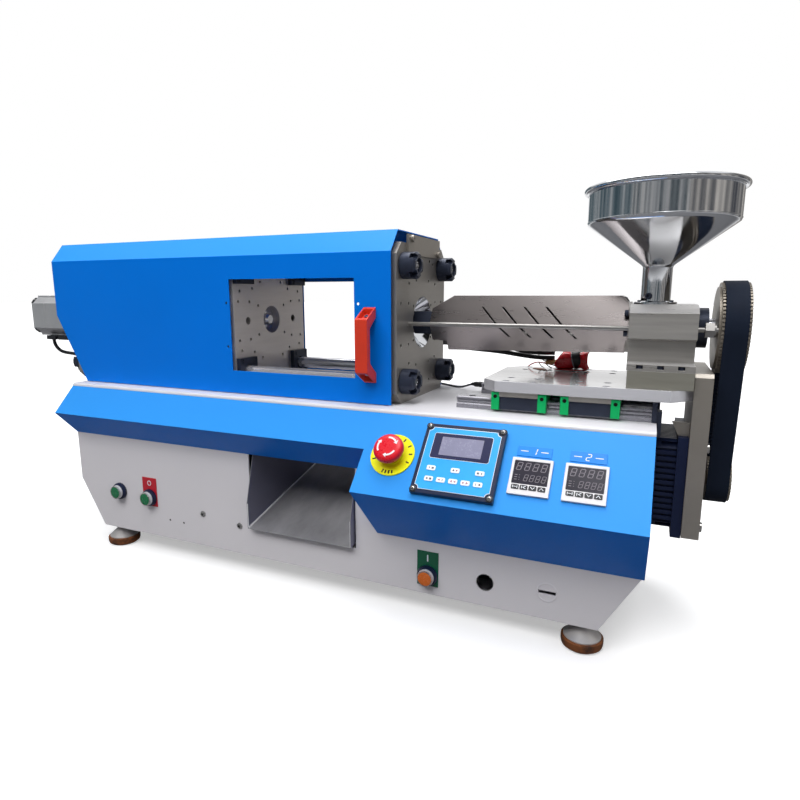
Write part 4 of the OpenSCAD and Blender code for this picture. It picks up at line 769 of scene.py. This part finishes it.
MOTOR_LEAD = [
    (x, -24, z)
    for x, z in (
        (-804, 65), (-803, 58), (-799, 51), (-792, 45), (-783, 41), (-770, 39), (-755, 38), (-740, 36),
        (-725, 32), (-712, 26), (-702, 18), (-694, 10), (-688, 6), (-680, 4), (-668, 3.6), (-655, 3.6),
        (-642, 3.6),
    )
]
SENSOR_LEAD = [
    (-34, 113.75, -14), (-34, 113.75, -8), (-34, 113.75, -3), (-32.6, 113.75, 0), (-29, 114.15, 1.7),
    (-23, 114.55, 1.8), (-14, 114.75, 1.8), (-6, 113.75, 1.8), (1, 109.75, 1.8), (11, 102.75, 1.8),
    (22, 94.5, 1.8), (32, 88, 2.2), (41, 80, 4), (49, 72.5, 7), (56, 67.5, 9.8), (62, 65.4, 11.6), (68, 65, 12.2),
]
LEFT_LEAD = [
    (69, -12, 82), (69.2, -12, 80.6), (70.6, -11.8, 79), (73.4, -11.3, 78), (78, -10, 77.6), (85, -7, 76.8),
    (94, -2, 75.6), (104, 5, 74.2), (115, 13, 72.4), (127, 22, 70), (139, 31, 67.2), (151, 40, 64.6),
    (163, 48, 62.4), (172, 54.5, 61.2), (180, 60, 60.5), (186, 62.3, 60.4), (192, 62.4, 60.4),
]
RIGHT_LEAD = [
    (136, 12, 82), (136.2, 12, 80.6), (137.4, 12.8, 79), (139.8, 14.6, 77.4), (144, 18, 75.4), (151, 24, 73),
    (159, 31.5, 71.4), (168, 40, 70.2), (176, 48.5, 69), (182, 56, 68.4), (187, 60.6, 68.3), (192, 60.7, 68.3),
]


def lead(name, body, points, radius, node):
    """A round lead as one piece."""
    kit = Kit()
    kit.tube(HERE, points, radius, CABLE, 14)
    piece = kit.object(name, body, "cable_black", stands_for=(node,))


kit = Kit()
kit.block(HERE, (6, 14, 9), BLACK, (-661, -24, 4.5))
saddle = kit.object("lead_saddle", "frame", "cable_black", bevel=0.8)
lead("clamp_motor_lead", "frame", MOTOR_LEAD, 3.2, "motor_lead")
kit = Kit()
place = along_x(61, 65, 12.2)
profile = [
    (1.7, 0), (2.4, 0.4), (2.6, 3.4), (4.0, 6.4), (4.2, 7.4), (4.2, 11.6), (3.9, 12.0), (3.9, 13.0), (4.2, 13.4),
    (4.2, 19.9),
]
kit.lathe(place, profile, BLACK, 28)
for k in range(6):
    kit.block(place @ spin(k * math.pi / 3), (0.8, 1.4, 6.0), BLACK, (4.1, 0, 16.2))
plug = kit.object("sensor_plug", "frame", "cable_black")
lead("sensor_wire", "frame", SENSOR_LEAD, 1.6, "sensor_lead")
lead("heater_wire_left", "carriage", LEFT_LEAD, 3.4, "heater_leads")
lead("heater_wire_right", "carriage", RIGHT_LEAD, 3.4, "heater_leads")

# -------- e-stop: arrows and the marks round it

ESTOP = on_slope(26.5, 62)
ESTOP_TOP = 1.6
kit = Kit()
for tail in (96, -24, 216):
    neck, tip = tail - 58, tail - 76
    head = [polar(15.8, neck), polar(12.6, tip), polar(9.6, neck)]
    outline = arc(13.7, tail, neck, 12) + head + arc(11.5, neck, tail, 12)
    kit.prism(ESTOP, outline[::-1], 23.0, 24.55, INK)
kit.object("estop_arrows", "estop_mushroom", "estop_red")
kit = Kit()
for first, count, pitch in ((-105, 4, 10.0), (-20, 9, 27.5)):
    for k in range(count):
        place = ESTOP @ spin(math.radians(first + pitch * k))
        kit.prism(place, rounded(5.0, 2.1, 0.5, 2, (25.0, 0)), ESTOP_TOP - 0.1, ESTOP_TOP + 0.08, DARK_INK)
kit.object("estop_ring_marks", "frame", "estop_yellow")

# -------- control panel


def notched(half_w, half_h, cut):
    """A rectangle with concave round notches at its corners."""
    out = []
    for sx, sy, first in ((1, 1, 270), (-1, 1, 360), (-1, -1, 90), (1, -1, 180)):
        out += [(sx * half_w + x, sy * half_h + y) for x, y in arc(cut, first, first - 90, 6)]
    return out


PANEL_X, PANEL_S, PANEL_TOP = 117.5, 62.5, 8.0
film = PANEL_TOP + 0.35
place = on_slope(PANEL_X, PANEL_S)
kit = Kit()
kit.prism(place, notched(47.2, 43.8, 5.2), PANEL_TOP - 0.2, film - 0.1, INK)
kit.prism(place, notched(46.6, 43.2, 5.2), PANEL_TOP, film, OVERLAY)
kit.object("panel_overlay", "frame", "panel_black")
kit = Kit()
kit.prism(place, rounded(76.6, 36.6, 3.0, centre=(0, 17.7)), film - 0.1, film + 0.1, INK)
kit.prism(place, rounded(75.4, 35.4, 2.4, centre=(0, 17.7)), film, film + 0.3, LENS)
kit.prism(place, rounded(54, 26, 0.6, centre=(0, 17.5)), film + 0.2, film + 0.42, LCD)
kit.object("panel_screen", "frame", "panel_black")
SIGNS = {
    "stop": [(-1.4, -1.3), (1.4, -1.3), (1.4, 1.3), (-1.4, 1.3)],
    "right": [(-1.3, -1.5), (1.6, 0), (-1.3, 1.5)],
    "left": [(1.3, 1.5), (-1.6, 0), (1.3, -1.5)],
    "dot": rounded(2.6, 2.6, 1.3, 3),
    "bar": rounded(0.9, 3.0, 0.3, 1),
}
# the keys from left to right, an upper row of three and a lower row of five, with two signs on each
KEYS = [(-31.5, -14.5), (-0.3, -14.5), (30.5, -14.5)] + [(-31.1 + 15.5 * i, -29.2) for i in range(5)]
KEY_SIGNS = "bar stop, dot right, stop bar, dot stop, left bar, left left, right right, bar dot"
kit = Kit()
for (x, y), signs in zip(KEYS, KEY_SIGNS.split(", ")):
    kit.prism(place, rounded(11.2, 6.4, 1.8, centre=(x, y)), film - 0.1, film + 0.7, INK)
    for offset, sign in zip((-2.2, 2.2), signs.split()):
        shape = [(x + offset + a, y + b) for a, b in SIGNS[sign]]
        kit.prism(place, shape, film + 0.6, film + 0.82, KEY_RED if sign in ("left", "right") else KEY_GREY)
kit.object("panel_keys", "frame", "panel_black", bevel=0.25)
kit = Kit()
for x, y in corners(47.9, 44.9):
    spot = place @ shift(x, y, PANEL_TOP - 0.3)
    kit.lathe(spot, [(4.6, 0), (4.6, 0.5), (3.9, 0.9), (0, 0.9)], BLACK, 24)
    pan_screw(kit, spot @ shift(0, 0, 0.8), 3.0, 2.0)
kit.object("panel_screws", "frame", "alu")

# -------- temperature controllers

SEGMENTS = {
    "a": ((-1, 2), (1, 2)), "b": ((1, 2), (1, 0)), "c": ((1, 0), (1, -2)), "d": ((-1, -2), (1, -2)),
    "e": ((-1, 0), (-1, -2)), "f": ((-1, 2), (-1, 0)), "g": ((-1, 0), (1, 0)),
}
# thickness of printed figures
PRINT = 0.08


def digit(kit, place, centre, half, height, z, thick, finish, lit="abcdefg"):
    """A seven-segment figure, leaning as they do."""
    slant = 0.10 * height / 2
    for key in lit:
        p, q = [Vector((centre[0] + half * x + slant * y, centre[1] + height * y / 4)) for x, y in SEGMENTS[key]]
        ahead = (q - p).normalized()
        side = Vector((-ahead.y, ahead.x)) * thick / 2
        p, q, point = p + ahead * thick * 0.45, q - ahead * thick * 0.45, ahead * thick * 0.2
        outline = [p + side, p - point, p - side, q - side, q + point, q + side]
        kit.prism(place, [tuple(v) for v in outline], z, z + PRINT, finish)


CONTROLLER_XS = (206.0, 268.0)
# the strokes of the signs on the four keys
CONTROLLER_SIGNS = (
    [[(-2.6, -1.3), (-2.6, 1.3)], [(2.6, -1.3), (2.6, 1.3)], [(-1.4, 0), (1.4, 0)]],
    [[(-2.4, -1.4), (-2.4, 1.4)], [(2.0, -1.6), (-0.8, 0), (2.0, 1.6)]],
    [[(-2.2, 1.3), (0, -1.3), (2.2, 1.3)]],
    [[(-2.2, -1.3), (0, 1.3), (2.2, -1.3)]],
)
FACE = 3.5
GLASS_TOP = FACE - 0.25
for number, centre_x in enumerate(CONTROLLER_XS, 1):
    place = on_slope(centre_x, 70.5)
    kit = Kit()
    kit.prism(place, rounded(41.2, 30.2, 0.8, centre=(0, 5.0)), 2.4, GLASS_TOP, DISPLAY)
    for i in range(4):
        digit(kit, place, (-14.2 + 9.6 * i, 12.6), 2.6, 9.6, GLASS_TOP, 0.85, SEGMENT)
        digit(kit, place, (-4.6 + 6.9 * i, -2.0), 2.0, 8.0, GLASS_TOP, 0.6, SEGMENT)
    for y in (1.0, -2.0, -5.0):
        kit.prism(place, rounded(3.2, 0.8, 0.3, centre=(-16.5, y)), GLASS_TOP, GLASS_TOP + PRINT, SEGMENT)
        kit.prism(place, rounded(0.9, 0.9, 0.4, centre=(-12.4, y)), GLASS_TOP, GLASS_TOP + PRINT, SEGMENT)
    for i, strokes in enumerate(CONTROLLER_SIGNS):
        centre = Vector((-15.3 + 10.2 * i, -14.7))
        kit.prism(place, rounded(8.9, 5.8, 1.1, centre=centre), FACE - 0.1, FACE + 0.7, BLACK)
        for p, q in [pair for line in strokes for pair in zip(line, line[1:])]:
            along = (Vector(q) - Vector(p)).normalized() * 0.34
            across = Vector((-along.y, along.x))
            p, q = centre + Vector(p) - along, centre + Vector(q) + along
            bar = [p - across, q - across, q + across, p + across]
            kit.prism(place, [tuple(v) for v in bar], FACE + 0.6, FACE + 0.8, INK)
    kit.object("controller_face_%d" % number, "frame", "controller_white")

# -------- legend plates

PLATE_FACE = 1.0
kit = Kit()
# a figure for each heating zone, drawn as plain strokes
for centre_x, lit in zip(CONTROLLER_XS, ("bc", "abged")):
    place = on_slope(centre_x, 36)
    digit(kit, place, (0, 0), 2.3, 8.4, PLATE_FACE, 1.1, INK, lit)
    for x in (-12, 12):
        kit.prism(place, rounded(9, 1.1, 0.5, centre=(x, 0)), PLATE_FACE, PLATE_FACE + PRINT, INK)
kit.object("zone_figures", "frame", "label_blue")

# place of each push button, and the thickness of the plate behind it
BUTTONS = {"left": ((-524, -188.5), 0.0), "middle": ((-453, -190.5), 1.0), "right": ((61, -231), 1.0)}
MIDDLE, RIGHT = on_front(*BUTTONS["middle"][0]), on_front(*BUTTONS["right"][0])
EDGE, COLLAR, FILM_END, FILM_BASE, FILM_TOP = 15.6, 14.9, 35.1, 0.1, 1.15
SIGN_AT = (0, 25.5)
kit = Kit()
for place, tone in ((MIDDLE, LABEL_RED), (RIGHT, LABEL_GREEN)):
    outline = [(-EDGE, EDGE), (EDGE, EDGE), (EDGE, FILM_END), (-EDGE, FILM_END)]
    kit.prism(place, outline, FILM_BASE, FILM_TOP, tone)
    for side in (-1, 1):
        # the film goes round the collar of the button on either side
        outer = side * EDGE
        rim = [(side * x, y) for x, y in arc(COLLAR, -90, 90, 12)]
        strips = [[low, (outer, low[1]), (outer, high[1]), high] for low, high in zip(rim, rim[1:])]
        for y0, y1 in ((-EDGE, -COLLAR), (COLLAR, EDGE)):
            strips.append([(0, y0), (outer, y0), (outer, y1), (0, y1)])
        for strip in strips:
            kit.prism(place, strip[::side], FILM_BASE, FILM_TOP, tone)
kit.prism(MIDDLE, rounded(9, 9, 4.4, centre=SIGN_AT), 1.1, 1.25, INK)
kit.prism(MIDDLE, rounded(6.2, 6.2, 3.0, centre=SIGN_AT), 1.2, 1.32, LABEL_RED)
kit.prism(RIGHT, rounded(2.0, 10, 0.8, centre=SIGN_AT), 1.1, 1.25, INK)
kit.object("button_legends", "frame", "label_blue")

LENS_RIM = [(11.3, 12.0), (11.1, 12.75), (10.4, 12.9), (9.8, 12.75), (9.7, 12.0)]
for side, (spot, lift) in BUTTONS.items():
    kit = Kit()
    kit.lathe(on_front(*spot), [(r, h + lift) for r, h in LENS_RIM], ZINC, 48)
    kit.object(side + "_button_rim", side + "_button_cap", "alu")

# -------- cabinet fixings

kit = Kit()
for x, z in ((-337.8, -203.3), (-262.9, -211.8)):
    pan_screw(kit, on_front(x, z), 5.2, 2.6)
for x, z in ((-412, -226), (-381.7, -226.5)):
    # a black plug sits a little way inside each small hole
    kit.prism(on_front(x, z), rounded(3.9, 3.9, 1.94), -1.4, -0.5, BLACK)
kit.object("panel_fixings", "frame", "alu")
KNOCKOUT, SPARE_HOLE = on_front(224.8, -222.5), on_front(142.8, -225.2)
kit = Kit()
kit.lathe(KNOCKOUT, [(13.6, 0.02), (13.5, 0.3), (13.0, 0.42), (11.7, 0.42), (11.3, 0.1)], CABINET, 48)
kit.object("knockout_rim", "frame", "cabinet_paint")
kit = Kit()
kit.lathe(SPARE_HOLE, [(11.9, 0.02), (11.9, 0.5), (11.25, 0.5), (11.2, -2.0)], ZINC, 48)
kit.object("spare_hole_edge", "frame", "cabinet_paint")

# -------- chute folds: near-white lines along the folds, painted highlights

CHUTE_X0, CHUTE_X1, CHUTE_T = -238.0, -54.0, 1.2
CHUTE_Y0, CHUTE_Y1 = -142.0, 128.0
CHUTE_LIP, CHUTE_SLOPE = -208.0, math.radians(14)
kit = Kit()
for x, radius in ((CHUTE_X0 + CHUTE_T, 1.7), (CHUTE_X1 - CHUTE_T, 1.0)):
    floor_line = [
        (x, y, CHUTE_LIP + (y - CHUTE_Y0) * math.tan(CHUTE_SLOPE) + CHUTE_T + 0.2)
        for y in (CHUTE_Y0 + 0.6, 0, CHUTE_Y1 - 3)
    ]
    kit.tube(HERE, floor_line, radius, FOLD_HIGHLIGHT, 8, 1)
    kit.tube(HERE, [(x, CHUTE_Y0 + 0.7, CHUTE_LIP + rise) for rise in (3, 41)], 0.8, FOLD_HIGHLIGHT, 8, 1)
kit.object("chute_fold_highlights", "frame", "stainless_sheet")

# -------- sprue cone, tie-bar ends and retainer screws, with painted highlights round the platen holes and painted shade in the tie-bar centres and screw sockets

# outer ends of the tie bars, and the front of the bush retainers
BAR_Y, BAR_Z, BAR_END, RETAINER_X = 75.5, 81.5, 22.2, -272.8
PLATEN_HOLES = ((26.5, 62.5), (54, 58), (55.5, 29.5), (83.5, 29.5), (36, 25), (28.5, 92), (44, 88))
kit = Kit()
sprue = [(38.9, 0.05), (38.9, -0.2), (21.1, -20.0), (20.7, -19.7), (38.5, 0.05)]
kit.lathe(along_x(0, 0, AXIS_Z), sprue, POLISHED, 64)
for sy, sz in corners(1, 1):
    for y, z in PLATEN_HOLES:
        # bright rims round the platen's holes: painted highlights
        edge = [(2.5, -0.6), (3.2, 0.04), (3.3, -0.1), (2.6, -0.7)]
        kit.lathe(along_x(0, sy * y, AXIS_Z + sz * z), edge, FOLD_HIGHLIGHT, 20)
kit.object("sprue_cone", "frame", "ground_steel")
# near-black centre holes in the tie-bar ends and sockets in the retainer screws: painted shade
centre_shades, sockets = Kit(), Kit()
for y, z in corners(BAR_Y, BAR_Z):
    centre_shades.lathe(along_x(BAR_END, y, AXIS_Z + z), [(3.4, 0.1), (3.4, 0.5), (1.2, -0.6), (0, -0.8)], HOLE, 20)
    for dy, dz in corners(17, 17):
        spot = along_x(RETAINER_X, y + dy, AXIS_Z + z + dz)
        sockets.lathe(spot, [(2.2, 0.05), (2.0, -1.6), (0, -1.8)], HOLE, 6)
centre_shades.object("tie_bar_centre_shades", "frame", "bright_steel")
sockets.object("retainer_sockets", "moving_platen_unit", "black_oxide")

# -------- carriage plate and guide blocks

PLATE_TOP = 42.6
BLOCK_L, CAP_L = 72.0, 10.6
BLOCKS = [(x, y) for x in (133.2, 223.2) for y in (-65, 65)]
SINK = 5.9
middles = [(x + BLOCK_L / 2, y) for x, y in BLOCKS]
places = [upright(x + dx, y + dy, PLATE_TOP - SINK) for x, y in middles for dx, dy in corners(18, 16)]
socket_screws("carriage_bolts", "carriage", "black_oxide", places, 4.2, 4.6, OXIDE, 20)
kit = Kit()
for x, y in BLOCKS:
    for side in (-1, 1):
        for end in (0, BLOCK_L - CAP_L):
            # a near-black hole in the side of each end cap: painted shade
            spot = upright(x + end + CAP_L / 2, y + side * 21.4, 21.5) @ spin(-side * QUARTER, "X")
            kit.lathe(spot, [(2.5, 0.06), (2.3, -1.2), (0, -1.4)], HOLE, 20)
        # a ground shoulder above the black body
        size = (BLOCK_L - 2 * CAP_L - 0.1, 0.16, 6.8)
        kit.block(HERE, size, GROUND, (x + BLOCK_L / 2, y + side * 22.02, 25.0))
kit.object("block_details", "carriage", "black_oxide")

# -------- boot, its tie and thin wires

BOOT_X, BOOT_Y, BOOT_Z = 192.3, 65.0, PLATE_TOP + 15.5
BOOT_SIDES = 48
# distance along the boot, half size, how square the section is, how far the corners reach on
BOOT_RINGS = [
    (0.0, 8.0, 0.2, 0), (1.0, 11.6, 0.3, 0), (4.0, 13.6, 0.35, 0), (12.0, 14.4, 0.35, 0),
    (20.0, 14.2, 0.3, 0), (25.0, 13.2, 0.2, 0), (28.5, 11.6, 0.1, 0), (37.0, 11.6, 0.2, 0),
    (40.0, 12.6, 0.5, 0.3), (43.5, 13.6, 0.9, 1.8), (46.4, 14.8, 1.0, 4.6), (46.6, 13.6, 1.0, 4.4),
    (42.0, 12.0, 0.9, 2.2),
]
vertices = []
for x, half, square, reach in BOOT_RINGS:
    for a in [2 * math.pi * k / BOOT_SIDES for k in range(BOOT_SIDES)]:
        # 0 in the middle of each flat side, and 1 at a corner
        excess = 1 / max(abs(math.cos(a)), abs(math.sin(a))) - 1
        corner = excess / (math.sqrt(2) - 1)
        r = half * (1 + square * excess * 0.82)
        r *= 1 + 0.03 * math.sin(3 * a + x * 0.25) + 0.015 * math.sin(7 * a - x * 0.5)
        # the boot rests on the plate, and its mouth is cut off at a slant
        z = min(max(r * math.sin(a), -15.1), 15.0, -6.0 + 1.9 * x)
        vertices.append((BOOT_X + x + reach * corner**2, BOOT_Y + r * math.cos(a), BOOT_Z + z))
kit = Kit()
kit.add(HERE, vertices, skin(len(BOOT_RINGS), BOOT_SIDES), BOOT)
kit.prism(HERE, rounded(51, 33, 8, centre=(BOOT_X + 23.5, BOOT_Y)), PLATE_TOP + 0.3, PLATE_TOP + 2.6, BOOT)
boot = kit.object("terminal_sleeve", "carriage", "boot_red", sharp=50, stands_for=("terminal_boot",))
modifier(boot, "SUBSURF", levels=1, render_levels=1)
kit = Kit()
place = along_x(BOOT_X + 26.5, BOOT_Y, BOOT_Z) @ spin(math.radians(-15), "Y")
kit.lathe(place, [(11.0, 0), (13.4, 0.6), (14.2, 2.4), (14.2, 10.0), (13.4, 12.0), (11.0, 12.6)], CABLE, 48)
# a light grey ring on the left edge of the tie: painted highlight
kit.lathe(place, [(12.6, -0.5), (13.9, -0.3), (14.2, 0.4), (14.1, 1.2), (12.6, 1.2)], TIE_EDGE_HIGHLIGHT, 48)
kit.object("boot_tie", "carriage", "cable_black")
THIN_WIRES = (
    (WIRE_RED, 0.95, [
        (196, 70, 47.5), (190.8, 72, 48.1), (182.6, 72, 49.5), (174.4, 72, 50.9), (168.5, 72, 51.8),
        (162.6, 72.4, 51.3), (155.6, 74, 48.2), (150.4, 77, 44.6),
    ]),
    (CABLE, 0.9, [
        (162.1, 62, 76), (162.1, 70, 73.2), (165.3, 70, 66.2), (169.7, 70, 59.2), (174.6, 70, 55.3),
        (180.5, 70, 52.6), (187.6, 70, 49.3), (194, 70, 47),
    ]),
    (CABLE, 0.8, [(167, 72, 52), (168.1, 75, 48.5), (170.5, 76, 45.4), (174.5, 76.5, 43.6)]),
    (CABLE, 0.8, [(175.5, 72, 52), (177.5, 75, 49.5), (181, 76, 46), (186, 76.5, 43.6)]),
)
kit = Kit()
for finish, radius, points in THIN_WIRES:
    kit.tube(HERE, points, radius, finish, 8)
kit.tube(HERE, [(196, 62, 54.6), (188, 62, 54.2), (179, 61, 53.2)], 3.6, TAN, 12, 1)
scrap = [(159.7, 63.8), (170.5, 52), (181, 46), (183, 50), (176.9, 66.1), (164, 67)]
kit.prism(HERE, scrap, PLATE_TOP, PLATE_TOP + 0.9, PAD)
kit.object("thin_wires", "carriage", "cable_black")

# -------- socket screws

places = [upright(HOPPER_X + x, y, SEAT_Z) for x, y in (polar(22, 90 + 120 * k) for k in range(3))]
socket_screws("hopper_screws", "carriage", "black_oxide", places, 2.4, 2.2, OXIDE, 18)
places = [along_x(396.0, y, SERVO_Z + z) for y, z in corners(51.3, 51.3)]
socket_screws("motor_bolts", "carriage", "bright_steel", places, 6.4, 4.0, ZINC)

# the handle's two screws stand on the floors of the pockets in its grip
HOOD_FACE, GRIP_OUT, HANDLE_X = -106.25, 29.0, -37.5
places = []
for grip, root, side in ((49.0, 31.5, -1), (122.0, 138.5, 1)):
    tilt = math.atan2(root - grip, GRIP_OUT)
    u = Vector((0, math.cos(tilt), math.sin(tilt)))
    inward = Vector((0, side * u.z, -side * u.y))
    pocket = Vector((HANDLE_X, HOOD_FACE - GRIP_OUT, grip)) + u * 18 + inward * 8
    places.append(upright(*pocket) @ (-inward).to_track_quat("Z", "X").to_matrix().to_4x4())
socket_screws("handle_screws", "hood_unit", "bright_steel", places, 3.2, 3.0, ZINC, 20)

motor_end = Matrix.Translation((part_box("clamp_motor")[0].x, ORIGIN.y, ORIGIN.z))
places = [motor_end @ shift(0, y, AXIS_Z + z) @ spin(-QUARTER, "Y") for y, z in corners(31, 31)]
socket_screws("clamp_motor_screws", "frame", "alu_cast", places, 2.6, 1.4, ZINC, 18)

# -------- end

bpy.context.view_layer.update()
